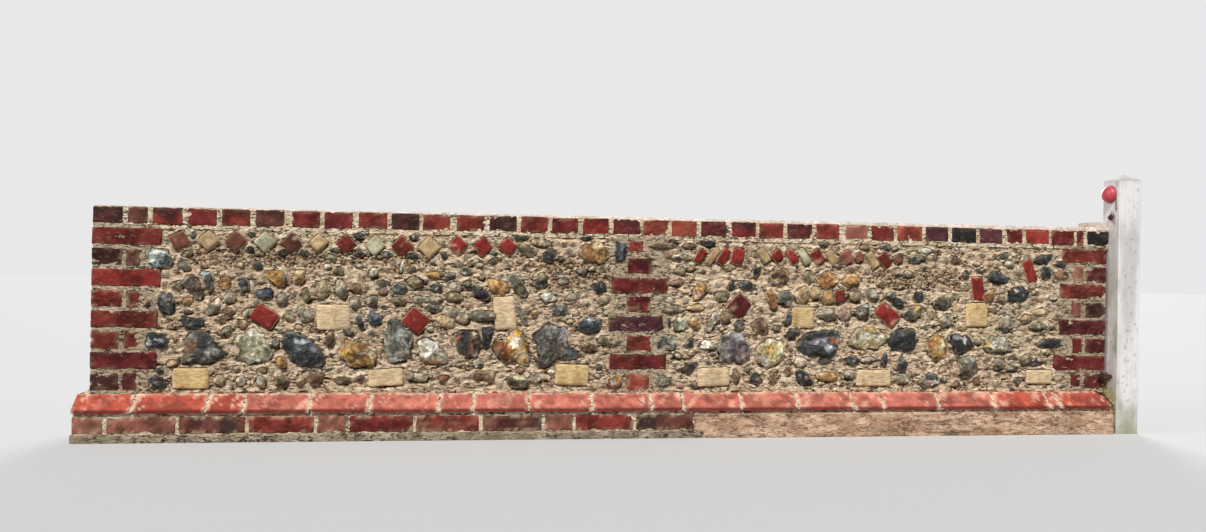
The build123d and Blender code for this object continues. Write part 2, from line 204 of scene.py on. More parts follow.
# Cobbles have a dark and a light tone
STONE_TONES = tones(
    grey=((102, 95, 80), (178, 167, 144)), olive=((88, 79, 58), (158, 144, 112)),
    brown=((82, 60, 44), (146, 118, 90)), amber=((132, 90, 48), (192, 152, 98)),
    rust=((92, 56, 40), (138, 94, 70)), white=((176, 166, 144), (224, 216, 198)),
    cream=((180, 160, 116), (222, 204, 162)), buff=((166, 136, 96), (204, 178, 138)),
    pink=((132, 98, 86), (178, 146, 128)), smoke=((50, 50, 46), (112, 106, 94)),
    black=((26, 28, 26), (74, 74, 68)),
)
# Flints have a dark, a medium and a light tone on their broken face
FLINT_TONES = tones(
    black=((12, 16, 18), (30, 34, 34), (104, 106, 98)), ink=((22, 26, 30), (52, 56, 56), (120, 118, 106)),
    navy=((10, 14, 16), (30, 36, 40), (112, 116, 112)), slate=((34, 42, 50), (80, 88, 98), (150, 154, 152)),
    smoke=((34, 36, 32), (92, 88, 76), (160, 154, 138)),
    stone=((74, 72, 64), (132, 128, 114), (174, 170, 156)),
    teal=((48, 58, 58), (112, 124, 116), (184, 188, 172)),
    green=((128, 122, 96), (184, 178, 150), (216, 210, 186)),
    olive=((66, 62, 46), (112, 104, 82), (160, 150, 124)),
    umber=((52, 38, 32), (92, 72, 60), (140, 120, 100)),
    brown=((70, 48, 34), (134, 102, 68), (186, 158, 118)), rust=((74, 34, 16), (146, 82, 38), (196, 146, 88)),
    bronze=((20, 18, 16), (52, 36, 26), (140, 98, 58)),
    amber=((132, 90, 48), (180, 136, 78), (212, 182, 130)),
    gold=((116, 80, 38), (184, 140, 70), (220, 196, 142)),
    cream=((168, 148, 96), (214, 200, 154), (234, 226, 198)),
    white=((142, 130, 108), (206, 200, 182), (234, 230, 218)),
    purple=((84, 74, 78), (142, 130, 128), (186, 174, 166)),
)
PATCH_TONES = tones(
    black=(12, 15, 17), ink=(28, 32, 36), slate=(64, 71, 79), grey=(112, 110, 100), pale=(180, 184, 180),
    white=(214, 208, 192), cream=(218, 202, 158), gold=(212, 162, 62), amber=(188, 132, 66),
    rust=(134, 78, 46), brown=(116, 80, 48), umber=(70, 50, 38), olive=(92, 92, 64), moss=(166, 168, 130),
    green=(184, 184, 152), pink=(198, 162, 146), purple=(128, 117, 126), maroon=(92, 42, 42),
)

# Meshes are gathered as tubes: rings of points, closed by a point at each end


class Batch:
    """Points, faces, colours and gloss of one piece, gathered until it is made."""

    def __init__(self):
        self.points, self.faces, self.colours, self.gloss = [], [], [], []
        self.count = 0

    def tube(self, rings, first, last, colours, gloss):
        """Adds rings (levels, around, 3) with the end points first and last, in millimetres."""
        levels, around = rings.shape[:2]
        colours = np.broadcast_to(colours, rings.shape)
        gloss = np.broadcast_to(gloss, rings.shape[:2])
        loop = rings[levels // 2] - rings[levels // 2].mean(0)
        turning = np.cross(loop, np.roll(loop, -1, axis=0)).sum(0)
        if turning @ (np.array(last, float) - first) < 0:
            rings, colours, gloss = rings[:, ::-1], colours[:, ::-1], gloss[:, ::-1]
        self.points += [rings.reshape(-1, 3), np.array([first, last], float)]
        grid = self.count + np.arange(levels * around).reshape(levels, around)
        turned = np.roll(grid, -1, axis=1)
        quads = np.stack([grid[:-1], turned[:-1], turned[1:], grid[1:]], axis=-1)
        self.faces += quads.reshape(-1, 4).tolist()
        self.count += levels * around + 2
        self.faces += [[self.count - 2, b, a] for a, b in zip(grid[0].tolist(), turned[0].tolist())]
        self.faces += [[self.count - 1, a, b] for a, b in zip(grid[-1].tolist(), turned[-1].tolist())]
        self.colours += [colours.reshape(-1, 3), np.stack([colours[0].mean(0), colours[-1].mean(0)])]
        self.gloss += [gloss.reshape(-1), np.array([gloss[0].mean(), gloss[-1].mean()])]

    def make(self, name, material, slot, replaces=(), sharp=40):
        """Makes one Blender object from what was gathered."""
        mesh = bpy.data.meshes.new(name)
        mesh.from_pydata((np.concatenate(self.points) * MM).tolist(), [], self.faces)
        colours = np.concatenate(self.colours)
        colours = np.concatenate([colours, np.ones((len(colours), 1))], axis=1)
        paint = mesh.attributes.new("tint", "FLOAT_COLOR", "POINT")
        paint.data.foreach_set("color", np.clip(colours, 0, 1).astype(np.float32).ravel())
        shine = mesh.attributes.new("gloss", "FLOAT", "POINT")
        shine.data.foreach_set("value", np.concatenate(self.gloss).astype(np.float32))
        mesh.polygons.foreach_set("use_smooth", np.ones(len(mesh.polygons), bool))
        mesh.set_sharp_from_angle(angle=math.radians(sharp))
        mesh.materials.append(material)
        piece = bpy.data.objects.new(name, mesh)
        bpy.context.scene.collection.objects.link(piece)
        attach(piece, "root")
        if replaces:
            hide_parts(*replaces)


def spaced(low, high, step):
    """Places from low to high, about step apart, with closer ones at both ends."""
    inner = np.linspace(low + 4, high - 4, max(2, round((high - low) / step)))
    first = [low, low + 1.5]
    return np.concatenate([first, inner, [low + high - place for place in reversed(first)]])


def walk(corners, steps):
    """Points round a closed outline of corners, steps apart: one number, or one for each side."""
    if not isinstance(steps, tuple):
        steps = [steps] * len(corners)
    points = []
    for (ax, ay), (bx, by), step in zip(corners, corners[1:] + corners[:1], steps):
        count = max(1, round(math.hypot(bx - ax, by - ay) / step))
        points += [(ax + (bx - ax) * part, ay + (by - ay) * part) for part in np.arange(count) / count]
    return np.array(points)


def loft(outline, levels, axis=Z):
    """Rings of the same outline, one at each level along an axis."""
    rings = np.empty((len(levels), len(outline), 3))
    rings[..., [other for other in (X, Y, Z) if other != axis]] = outline
    rings[..., axis] = levels[:, None]
    return rings


def chamfered(low, high, cut=3.0):
    """The corners of a rectangle whose own corners are cut off."""
    (ax, ay), (bx, by) = low[:2], high[:2]
    return [
        (ax + cut, ay), (bx - cut, ay), (bx, ay + cut), (bx, by - cut),
        (bx - cut, by), (ax + cut, by), (ax, by - cut), (ax, ay + cut),
    ]


def bar(batch, section, low, high, step, paint, rough, seed, clip=None):
    """A length of section (Y and Z points) run along X from low to high, with a rough surface."""
    levels = spaced(low, high, step)
    rings = loft(section, levels, X)
    middle = section.mean(0)
    from_end = np.minimum(levels - low, high - levels)
    shrink = 1 - 0.02 * (1 - smooth(0, 4.5, from_end))
    rings[..., 1:] = middle + (rings[..., 1:] - middle) * shrink[:, None, None]
    if clip:
        clip(rings)
    shift = np.array([7.7, 3.1, 1.3]) * seed
    bend = wobble(rings + shift, 50, seed)
    detail = fractal(rings + shift, 12, seed + 5, 3)
    out = rings[..., 1:] - middle
    out = out / np.linalg.norm(out, axis=-1, keepdims=True)
    rings[..., 1:] += out * (rough * (0.9 * detail))[..., None] + 0.7 * rough * bend[..., 1:]
    rings[..., 2] = np.maximum(rings[..., 2], GROUND_GAP)
    batch.tube(rings, (low, *middle), (high, *middle), paint(rings + shift, rings), 0.05)


def bar_across(batch, profile, low, high, step, paint, rough, seed):
    """A length of profile (X and Z points) run through the wall from low to high, a little rough."""
    rings = loft(profile, spaced(low, high, step), Y)
    middle = profile.mean(0)
    out = rings[..., ::2] - middle
    ragged = rough * (fractal(rings, 16, seed, 3) - 0.6)
    rings[..., ::2] += out / np.linalg.norm(out, axis=-1, keepdims=True) * ragged[..., None]
    ends = [(middle[0], at, middle[1]) for at in (low, high)]
    batch.tube(rings, *ends, paint(rings, rings), 0.05)


# Materials


class Nodes:
    """A node tree, with a short call for each kind of node. An input is a value or another's output."""

    def __init__(self, owner):
        owner.use_nodes = True
        self.nodes, self.links = owner.node_tree.nodes, owner.node_tree.links

    def put(self, socket, value):
        """Sets an input, or links it."""
        if isinstance(value, bpy.types.NodeSocket):
            self.links.new(value, socket)
        else:
            socket.default_value = (*value, 1) if socket.type == "RGBA" else value

    def add(self, kind, inputs=(), **settings):
        """The outputs of a new node."""
        node = self.nodes.new(kind)
        for name, value in settings.items():
            setattr(node, name, value)
        for name, value in dict(inputs).items():
            self.put(node.inputs[name], value)
        return node.outputs

    def math(self, operation, *values):
        return self.add("ShaderNodeMath", enumerate(values), operation=operation)[0]

    def ramp(self, value, low, high, start, end):
        """value between low and high as a number from start to end."""
        inputs = {"Value": value, "From Min": low, "From Max": high, "To Min": start, "To Max": end}
        return self.add("ShaderNodeMapRange", inputs)["Result"]

    def blend(self, share, one, other, mode="MIX"):
        """Two colours blended by share."""
        inputs = {0: share, 6: one, 7: other}
        return self.add("ShaderNodeMix", inputs, data_type="RGBA", blend_type=mode)[2]

    def seen(self):
        """1 for rays that the camera, a gloss or a clear thing sends out, 0 for rays that only light."""
        rays = self.add("ShaderNodeLightPath")
        direct = self.math("MAXIMUM", rays["Is Camera Ray"], rays["Is Glossy Ray"])
        return self.math("MAXIMUM", direct, rays["Is Transmission Ray"])


class Surface(Nodes):
    """A material. base is its colour so far: the given one, or else the paint that its pieces carry."""

    def __init__(self, name, roughness=0.85, sheen=0.12, base=None):
        self.material = bpy.data.materials.new(name)
        super().__init__(self.material)
        self.inputs = self.nodes["Principled BSDF"].inputs
        self.put(self.inputs["Roughness"], roughness)
        self.put(self.inputs["Specular IOR Level"], sheen)
        self.place = self.add("ShaderNodeTexCoord")["Object"]
        self.base = self.carried("tint", "Color") if base is None else base
        self.relief = None

    def carried(self, name, output):
        """What a piece carries under name at each of its points."""
        return self.add("ShaderNodeAttribute", attribute_name=name)[output]

    def noise(self, scale, detail=4.0, roughness=0.6, stretch=None):
        """A noise texture with scale bumps to the metre."""
        place = self.place
        if stretch:
            place = self.add("ShaderNodeMapping", {"Vector": place, "Scale": stretch})["Vector"]
        inputs = {"Vector": place, "Scale": scale, "Detail": detail, "Roughness": roughness}
        return self.add("ShaderNodeTexNoise", inputs)["Fac"]

    def shade(self, lightness):
        self.base = self.blend(1.0, self.base, lightness, "MULTIPLY")

    def cover(self, share, colour):
        self.base = self.blend(share, self.base, colour)

    def bump(self, height, strength, distance):
        """Fine relief from a height, on top of the relief so far."""
        inputs = {"Height": height, "Strength": strength, "Distance": distance}
        if self.relief is not None:
            inputs["Normal"] = self.relief
        self.relief = self.add("ShaderNodeBump", inputs)["Normal"]

    def done(self):
        """Links the colour and the relief, and gives the material."""
        self.put(self.inputs["Base Color"], self.base)
        if self.relief is not None:
            self.put(self.inputs["Normal"], self.relief)
        return self.material


def brick_shader():
    made = Surface("brick")
    grain = made.noise(260, 6, 0.7)
    streaks = made.noise(85, 5, 0.65, (0.7, 1, 1.4))
    made.shade(made.ramp(grain, 0.34, 0.66, 0.66, 1.26))
    made.cover(made.ramp(made.noise(480, 3, 0.5), 0.62, 0.72, 0.0, 0.6), tone(60, 34, 32))
    made.cover(made.ramp(streaks, 0.56, 0.78, 0.0, 0.32), tone(208, 150, 120))
    made.put(made.inputs["Roughness"], made.ramp(grain, 0.3, 0.7, 0.72, 0.95))
    made.bump(streaks, 0.5, 0.002)
    made.bump(grain, 0.6, 0.001)
    return made.done()


def mortar_shader(name, depth):
    """Flaking lime mortar. depth is how dark its hollows, cracks and grains are: the dark hollows are painted
    shade and the light crests a painted highlight, and the dark lines at the flakes are partly cracks, partly
    painted shade under the flakes.
    """
    made = Surface(name, 0.95)
    sand = made.noise(420, 5, 0.75)
    lumps = made.noise(120, 6, 0.7, (0.6, 1, 1.5))
    # Painted shade and highlight: darker where the lumps sink, lighter where they rise.
    made.shade(made.ramp(lumps, 0.36, 0.62, 1 - 0.4 * depth, 1 + 0.38 * depth))
    made.shade(made.ramp(sand, 0.34, 0.66, 0.86, 1.16))
    flakes = made.noise(64, 2.5, 0.6, (0.33, 1, 1))
    # Thin dark lines at the flakes' edges: partly cracks, partly painted shade under the flakes.
    lines = made.math("COMPARE", flakes, 0.5, 0.036)
    patches = made.ramp(made.noise(22, 3, 0.5), 0.36, 0.56, 0.25 * depth, 0.9 * depth)
    made.cover(made.math("MULTIPLY", lines, patches), tone(46, 36, 26))
    stones = made.add("ShaderNodeTexVoronoi", {"Vector": made.place, "Scale": 330})["Distance"]
    specks = made.ramp(stones, 0.12, 0.3, 0.6 * depth, 0.0)
    dark = made.ramp(made.noise(190, 3, 0.5), 0.5, 0.62, 0.0, 1.0)
    made.cover(made.math("MULTIPLY", specks, dark), tone(70, 54, 38))
    made.bump(lumps, depth, 0.007)
    made.bump(flakes, 0.9, 0.007)
    made.bump(sand, 0.9, 0.0024)
    return made.done()


def flint_shader():
    """Cloudy stone. The glossy ones are broken into faces, each of its own lightness: a painted shade and
    highlight for how each face catches the light.
    """
    made = Surface("flint", 0.5, 0.34)
    gloss = made.carried("gloss", "Fac")
    clouds = made.noise(75, 6, 0.66)
    fine = made.noise(320)
    made.shade(made.ramp(clouds, 0.38, 0.62, 0.5, 1.45))
    made.cover(made.ramp(fine, 0.62, 0.76, 0.0, 0.18), tone(206, 198, 180))
    bent = made.add("ShaderNodeTexNoise", {"Vector": made.place, "Scale": 40})["Color"]
    inputs = {0: bent, 1: (0.03, 0.03, 0.03), 2: made.place}
    moved = made.add("ShaderNodeVectorMath", inputs, operation="MULTIPLY_ADD")[0]
    faces = made.add("ShaderNodeTexVoronoi", {"Vector": moved, "Scale": 44})
    # Painted shade and highlight: each cell is a small broken face, lighter or darker as if it caught the
    # light at its own angle.
    lightness = made.ramp(faces["Color"], 0.25, 0.75, 0.45, 1.55)
    broken = made.blend(1.0, made.base, lightness, "MULTIPLY")
    made.cover(made.ramp(gloss, 0.36, 0.6, 0.0, 0.8), broken)
    made.put(made.inputs["Roughness"], made.ramp(gloss, 0.0, 1.0, 0.85, 0.2))
    made.bump(clouds, 0.9, 0.008)
    made.bump(faces["Distance"], 0.5, 0.012)
    made.bump(fine, 0.4, 0.0008)
    return made.done()


def limestone_shader():
    """Stone combed with a chisel, with small pits."""
    made = Surface("limestone", 0.9)
    grain = made.noise(240, 5, 0.65)
    combed = made.noise(130, 4, 0.6, (0.3, 1, 1.6))
    made.shade(made.ramp(combed, 0.4, 0.6, 0.7, 1.16))
    made.cover(made.ramp(grain, 0.6, 0.72, 0.0, 0.35), tone(150, 116, 74))
    made.bump(combed, 0.6, 0.003)
    made.bump(grain, 0.6, 0.0014)
    return made.done()


def timber_shader():
    """Old paint over grain, with worn patches and short cracks."""
    made = Surface("painted_timber", 0.65, 0.2)
    grain = made.noise(90, 6, 0.6, (1, 1, 0.06))
    flakes = made.noise(75, 4, 0.65, (1, 1, 0.45))
    checks = made.noise(120, 3, 0.5, (0.55, 0.55, 1.6))
    made.shade(made.ramp(grain, 0.3, 0.7, 0.9, 1.05))
    worn = made.ramp(flakes, 0.64, 0.68, 0.0, 0.45)
    made.cover(worn, tone(140, 134, 122))
    made.cover(made.ramp(checks, 0.7, 0.73, 0.0, 0.8), tone(80, 76, 68))
    made.bump(grain, 0.4, 0.002)
    made.bump(worn, 0.5, -0.0006)
    return made.done()


def spotted_shader(name, colour, spots, roughness, metallic=0.0, coat=0.0):
    """One colour with spots of another. A coat makes it smoother."""
    made = Surface(name, roughness, 0.5, colour)
    fine = made.noise(380)
    made.cover(made.ramp(made.noise(90, 5), 0.35, 0.65, 0.0, 1.0), spots)
    made.put(made.inputs["Roughness"], made.ramp(fine, 0.3, 0.7, roughness * 0.85, roughness * 1.15))
    made.put(made.inputs["Metallic"], metallic)
    made.put(made.inputs["Coat Weight"], coat)
    made.bump(fine, 0.05 if coat else 0.3, 0.001)
    return made.done()


RED_LENS = tone(176, 44, 56)
brick_material = brick_shader()
mortar_material = mortar_shader("mortar", 1.0)
lime_material = mortar_shader("lime_mortar", 0.4)
haunch_material = mortar_shader("trowelled_mortar", 0.65)
flint_material = flint_shader()
limestone_material = limestone_shader()
timber_material = timber_shader()
reflector_material = spotted_shader("reflector", RED_LENS, tone(190, 62, 74), 0.4, coat=0.25)
rim_material = spotted_shader("reflector_rim", tone(126, 66, 74), tone(150, 96, 100), 0.5)
rust_material = spotted_shader("rusted_iron", tone(92, 54, 36), tone(44, 34, 30), 0.85, metallic=0.3)

# Tables of bricks, stones and marks, read in millimetres along the wall and up it.
# A space parts one entry from the next, and commas part the words and numbers of an entry.


def rows(text):
    """The entries of a table, each a list of words and numbers."""
    entries = [entry.split(",") for entry in text.split()]
    return [[value if value.isalpha() else float(value) for value in entry] for entry in entries]


# Left quoin, pier and right quoin: start, end, course, colour, soot and smear
QUOIN_BRICKS = rows("""
0,235,8,red,0,0.15 0,104,7,dark,0.3,0.2 115,163,7,brown,0,0.3 0,235,6,bright,0,0.15 0,106,5,bright,0,0.5
117,165,5,red,0,0.4 0,226,4,red,0,0.2 0,98,3,red,0,0.25 113,160,3,red,0,0.3 0,226,2,crimson,0,0.15
0,98,1,dark,0,0.2 110,160,1,maroon,0.2,0.2 1950,2050,7,crimson,0.3,0.25 1888,2112,6,crimson,0,0.25
1945,2045,5,crimson,0,0.5 1880,2100,4,purple,0.2,0.15 1950,2050,3,red,0,0.15 1885,2112,2,crimson,0.2,0.15
1955,2045,1,orange,0,0.6 3795,4000,8,red,0,0.4 3848,3895,7,faded,0,0.6 3904,4000,7,maroon,0.3,0.2
3788,4000,6,red,0.2,0.3 3838,3886,5,pink,0,0.5 3904,4000,5,dark,0.4,0.2 3788,4000,4,maroon,0.1,0.2
3845,3891,3,crimson,0,0.3 3904,4000,3,maroon,0,0.2 3764,4000,2,crimson,0.2,0.15 3840,3886,1,maroon,0,0.2
3904,4000,1,maroon,0.3,0.2
""")
# The pier's topmost header is a small one, set low
PIER_TOP_BRICK = (1955, 2012, 716, 764)
# Coping headers: start, end, colour, soot and smear
COPING_BRICKS = rows("""
0,106,dark,0.9,0.1 118,188,brown,0.2,0.2 204,308,red,0.8,0.1 325,425,crimson,0.2,0.1 442,545,red,0.6,0.15
560,665,brown,0.5,0.15 688,790,crimson,0,0.15 804,908,crimson,0.2,0.2 928,1034,red,0,0.2
1048,1152,dark,0.5,0.1 1164,1268,red,0,0.2 1290,1396,red,0,0.3 1412,1518,dark,0.7,0.1
1532,1636,red,0.2,0.15 1652,1755,crimson,0.1,0.3 1772,1875,bright,0.6,0.1 1890,1998,maroon,0.6,0.1
2008,2110,orange,0.1,0.2 2122,2225,orange,0,0.25 2240,2345,maroon,0.2,0.25 2364,2466,crimson,0.9,0.1
2478,2580,red,0,0.2 2594,2700,maroon,0.4,0.2 2714,2814,red,0,0.2 2840,2935,pink,0.1,0.4
2948,3050,crimson,0,0.2 3060,3172,orange,0,0.2 3184,3284,purple,0.4,0.15 3299,3408,black,0.5,0.05
3422,3525,purple,0.2,0.2 3540,3614,crimson,0.1,0.25 3628,3735,bright,0.2,0.2 3746,3850,crimson,0,0.2
3860,3892,crimson,0.2,0.3 3908,4008,black,0.7,0.05
""")
# Ends of the plinth bricks and of the base bricks
PLINTH_JOINTS = (
    -38, 160, 412, 540, 775, 985, 1240, 1365, 1572, 1815, 2046,
    2168, 2405, 2636, 2868, 2990, 3230, 3475, 3714, 3760, 3988,
)
PLINTH_COLOURS = ["flame"] * 3 + ["salmon"] * 14 + ["flame", "salmon", "flame"]
BASE_JOINTS = (
    -38, 72, 316, 555, 795, 910, 1150, 1394, 1628, 1746, 1980, 2220, 2460, 2700, 2940, 3180, 3420, 3660, 3880,
    4000,
)
BASE_COLOURS = (
    "dull dull brown red dull crimson red brown dull red brown dull dull red dull brown dull red dull"
).split()
# Burnt patches on base bricks, by the brick's number: place and half width
BURNT_PATCHES = {2: (465, 36), 7: (1590, 30), 10: (2000, 60)}

# Large flints and marked stones, each drawn as three sorts of entry: its colour and gloss, then the
# corners of its outline, then its patches of other colours: colour, middle, half width and half height
LEFT_DRAWN = """
black,0.9 228,520 242,538 268,536 282,515 284,480 277,458 238,463 228,490 grey,254,505,13,20
black,0.7 300,437 312,453 350,440 380,445 388,415 365,400 325,404
smoke,0.9 331,390 350,404 398,402 436,352 468,322 462,292 450,270 425,286 362,284 300,276 308,320 322,370
  black,368,393,24,8 black,420,370,13,18 brown,350,342,17,28 olive,328,312,12,24 ink,335,283,34,8
  pale,430,323,28,9 slate,448,293,13,15
black,1 183,385 200,396 234,387 262,390 266,340 240,330 190,333 180,355 pale,200,355,8,12
  pale,236,362,12,5
teal,0.5 182,680 200,695 268,695 279,660 264,628 208,624 192,642 white,223,684,24,7 slate,258,654,12,24
  white,205,655,12,6
black,0.6 192,222 210,233 250,228 263,205 250,190 204,190 white,209,198,7,6 pink,230,208,8,6
green,0.1 492,355 505,385 540,407 565,412 590,397 622,355 631,318 622,292 560,271 506,292 512,325
  white,594,295,30,10 white,568,392,24,11 moss,552,336,28,14 brown,517,317,8,16
navy,0.9 657,367 664,392 700,396 765,375 812,335 832,275 812,264 745,272 700,284 664,330
  slate,758,352,32,14 pale,735,362,20,5 ink,717,312,36,12 black,805,288,22,13 purple,782,325,14,9
umber,0.25 310,570 328,602 352,608 370,580 380,540 374,508 350,518
smoke,0.5 366,602 380,618 408,612 419,560 408,538 394,548 388,580 pale,388,611,16,5 ink,403,556,7,14
slate,0.9 560,546 618,558 630,540 622,524 566,522 ink,610,547,14,5
gold,0.3 586,605 605,622 660,620 678,590 668,560 648,558 620,582 grey,662,600,8,15 rust,655,568,12,9
white,0.1 384,468 402,495 435,522 453,500 448,475 405,454 olive,425,476,14,9 pink,433,505,13,10
gold,0.2 865,355 888,374 968,370 1002,340 1017,300 1008,272 930,264 886,282 866,315 umber,935,310,7,12
  umber,953,326,6,6 grey,898,345,18,9 cream,990,322,16,26 brown,940,268,20,6
stone,0.4 1025,400 1050,445 1082,436 1128,404 1144,345 1132,298 1100,271 1050,281 1028,325
  black,1122,376,17,18 ink,1029,344,6,56 black,1052,428,18,10 white,1080,288,36,10 pale,1090,400,12,20
white,0.1 1153,372 1176,384 1218,374 1268,322 1275,292 1235,274 1172,282 1154,305 ink,1205,374,15,8
  amber,1210,286,48,14 grey,1237,328,18,7 umber,1238,278,30,5
bronze,0.9 1280,400 1306,409 1370,412 1390,395 1393,330 1386,304 1340,302 1290,345 rust,1298,383,13,16
  rust,1352,346,9,26 cream,1362,397,6,14 black,1329,377,16,20 white,1374,316,11,9 rust,1337,308,15,6
white,0.3 1360,290 1375,304 1398,298 1403,275 1382,262 1364,268 ink,1385,276,6,6
black,0.9 1391,416 1413,425 1445,416 1432,391 1422,345 1410,334 1396,350 slate,1417,404,13,6
rust,0.4 1421,340 1444,380 1468,380 1490,355 1507,285 1488,274 1460,302 grey,1449,328,13,8
gold,0.2 1484,385 1512,412 1545,412 1570,350 1568,271 1504,276 1482,310 white,1525,360,24,22
  cream,1538,315,20,18 rust,1494,308,10,24 ink,1562,278,6,6
black,0.7 1345,567 1370,580 1405,560 1428,530 1408,517 1365,538 olive,1376,567,13,5
black,0.9 926,449 940,456 955,430 954,410 942,406 930,425
slate,0.7 966,448 983,475 1010,468 1026,448 1018,436 985,413 ink,999,438,15,8
smoke,0.8 1578,380 1608,400 1630,420 1665,435 1715,428 1722,395 1716,367 1740,350 1765,320 1760,300
  1700,290 1655,266 1612,268 1598,320 ink,1612,305,24,28 ink,1602,375,18,15 umber,1665,350,28,26
  olive,1660,315,30,20 purple,1696,405,22,26 grey,1650,408,24,12 slate,1742,316,18,14 black,1670,300,36,8
  pale,1698,432,16,5
navy,0.9 1753,412 1767,445 1800,460 1850,453 1861,436 1842,408 1800,400 slate,1790,438,22,8
  pale,1818,453,19,5 black,1838,420,16,9
amber,0.2 1765,710 1780,738 1815,753 1850,748 1880,725 1882,690 1855,670 1805,668 1776,686
  brown,1823,716,16,10 cream,1840,735,26,8 brown,1776,700,10,16
black,0.8 1900,760 1935,763 1948,742 1942,676 1911,675 1899,700 slate,1927,724,8,24
black,0.6 1808,592 1842,601 1873,590 1870,566 1848,549 1822,564 grey,1855,584,10,5
olive,0.5 1515,508 1532,508 1558,475 1567,440 1558,427 1535,455 black,1552,448,9,16
smoke,0.6 1620,705 1646,721 1675,716 1672,690 1650,667 1622,670 ink,1640,688,14,13
olive,0.2 1480,610 1494,636 1520,626 1568,562 1553,535 1520,548 grey,1514,601,20,16 umber,1552,552,11,10
amber,0.3 1865,207 1875,226 1910,245 1937,229 1940,198 1914,179 1880,183 white,1897,212,10,11
  maroon,1878,190,12,9 maroon,1908,190,11,9
olive,0.3 1487,216 1501,239 1535,245 1566,229 1579,207 1562,188 1526,185 1498,195 cream,1533,230,24,8
stone,0.15 1650,500 1675,514 1715,508 1730,486 1712,466 1676,465 ink,1695,476,26,8
white,0.1 1601,538 1624,553 1662,555 1681,536 1668,517 1628,517
"""
RIGHT_DRAWN = """
stone,0.5 2072,388 2108,399 2142,390 2155,362 2142,337 2075,332 black,2079,362,7,26
green,0.2 2132,444 2160,466 2190,454 2198,428 2180,410 2142,412 grey,2160,436,20,14
umber,0.7 2164,252 2192,280 2225,291 2247,280 2200,245 black,2211,274,20,6
smoke,0.5 2182,356 2203,380 2222,374 2218,348 2200,342
white,0.2 2243,342 2252,370 2277,380 2304,362 2306,338
purple,0.3 2315,345 2324,382 2352,407 2392,416 2426,398 2437,365 2453,325 2450,298 2400,278 2336,277
  2314,302 pale,2398,391,22,17 umber,2343,384,18,7 pink,2419,312,22,15 umber,2400,357,30,4
  umber,2371,337,40,3
cream,0.2 2468,332 2490,362 2516,386 2550,386 2590,370 2601,345 2590,300 2543,266 2512,260 2486,288
  brown,2521,353,20,6 umber,2554,366,10,7 gold,2530,330,8,20 green,2577,334,16,26 white,2502,302,20,15
  umber,2520,263,20,5
navy,0.7 2622,340 2658,386 2690,408 2735,409 2772,425 2806,418 2842,406 2828,370 2814,326 2795,309
  2740,320 2655,310 black,2706,394,36,8 black,2800,410,34,8 purple,2729,368,34,12 rust,2799,374,20,16
  slate,2648,332,18,15 ink,2736,340,48,5 pale,2772,352,20,10
cream,0.3 2860,365 2876,396 2895,428 2926,441 2970,434 3027,395 3018,366 2980,345 2905,343
  ink,2889,388,8,20 black,2873,352,14,11 white,2926,402,18,20 gold,2932,424,18,8 umber,2966,408,26,7
  white,2990,386,24,12
black,0.6 3012,368 3032,402 3070,426 3112,433 3150,418 3164,388 3152,358 3120,337 3050,338
  olive,3111,416,32,8 slate,3054,395,20,10
gold,0.4 3190,368 3205,397 3236,408 3268,388 3284,350 3280,312 3256,290 3226,303 3194,335
  black,3238,312,10,10 cream,3262,348,15,26 rust,3212,369,13,20
black,0.8 2638,252 2662,254 2688,244 2726,198 2662,200 2640,225 pink,2683,226,6,11 white,2655,239,6,7
brown,0.2 2522,640 2543,668 2572,676 2597,660 2607,630 2594,603 2558,595 2526,605 black,2537,660,17,7
  ink,2571,665,18,6 cream,2551,612,20,8
smoke,0.6 2457,650 2463,682 2482,687 2490,660 2470,615 cream,2475,674,8,6
amber,0.2 2714,626 2745,652 2782,649 2826,615 2804,596 2767,582 2730,594 brown,2757,634,28,8
  cream,2802,613,18,7
smoke,0.6 2885,484 2902,515 2930,530 2953,517 2948,480 2924,460 2895,468 pale,2923,519,20,6
  ink,2935,495,9,12
smoke,0.5 3062,262 3075,303 3089,329 3117,277 3103,246 ink,3089,267,16,18
smoke,0.5 3158,203 3183,226 3206,248 3232,243 3263,220 3244,195 3195,185 white,3236,212,19,9
  ink,3212,237,9,9 pink,3200,208,14,10
navy,0.8 3287,384 3298,407 3352,403 3382,404 3427,357 3367,342 3338,320 3312,342 slate,3388,383,18,7
  pale,3326,398,17,7 black,3338,336,10,9 white,3355,383,6,13
white,0.2 3439,357 3455,390 3492,403 3538,398 3586,364 3583,331 3500,339 3463,329 ink,3474,343,18,10
  gold,3459,370,9,15 pink,3567,350,14,13
black,0.6 3545,590 3578,603 3624,604 3646,585 3640,556 3610,544 3568,543 white,3585,586,7,6
  pale,3615,572,4,7 slate,3570,558,12,4
black,0.8 3678,377 3716,391 3797,388 3799,361 3762,353 3686,359 slate,3754,380,15,5
navy,0.8 3450,637 3480,664 3518,660 3547,640 3556,620 3480,626 slate,3502,643,22,5
navy,0.7 3663,716 3702,738 3748,743 3755,722 3718,700 3680,706 olive,3710,731,14,6
black,0.6 3702,683 3734,691 3750,668 3744,646 3718,641 3702,660
brown,0.2 3756,667 3794,675 3834,668 3830,644 3764,642 ink,3817,662,14,10
olive,0.2 3327,304 3368,318 3412,308 3439,274 3428,240 3384,228 3352,240 3343,275 green,3370,300,30,10
  grey,3397,290,20,12
amber,0.1 2209,540 2216,575 2234,600 2260,613 2284,592 2258,553 2232,530 pink,2234,552,16,12
white,0.1 2267,420 2280,458 2296,489 2317,488 2314,455 2280,400
olive,0.2 3085,490 3110,511 3152,525 3190,518 3176,490 3144,466 3110,461 gold,3149,509,22,9
  ink,3124,476,28,7
olive,0.2 3222,535 3246,556 3283,553 3309,533 3290,509 3240,505 black,3262,518,30,10
stone,0.1 2559,557 2583,581 2608,577 2625,552 2618,518 2586,511 2562,525
amber,0.2 2500,570 2524,584 2552,564 2563,520 2552,492 2530,505 rust,2532,545,13,16
"""
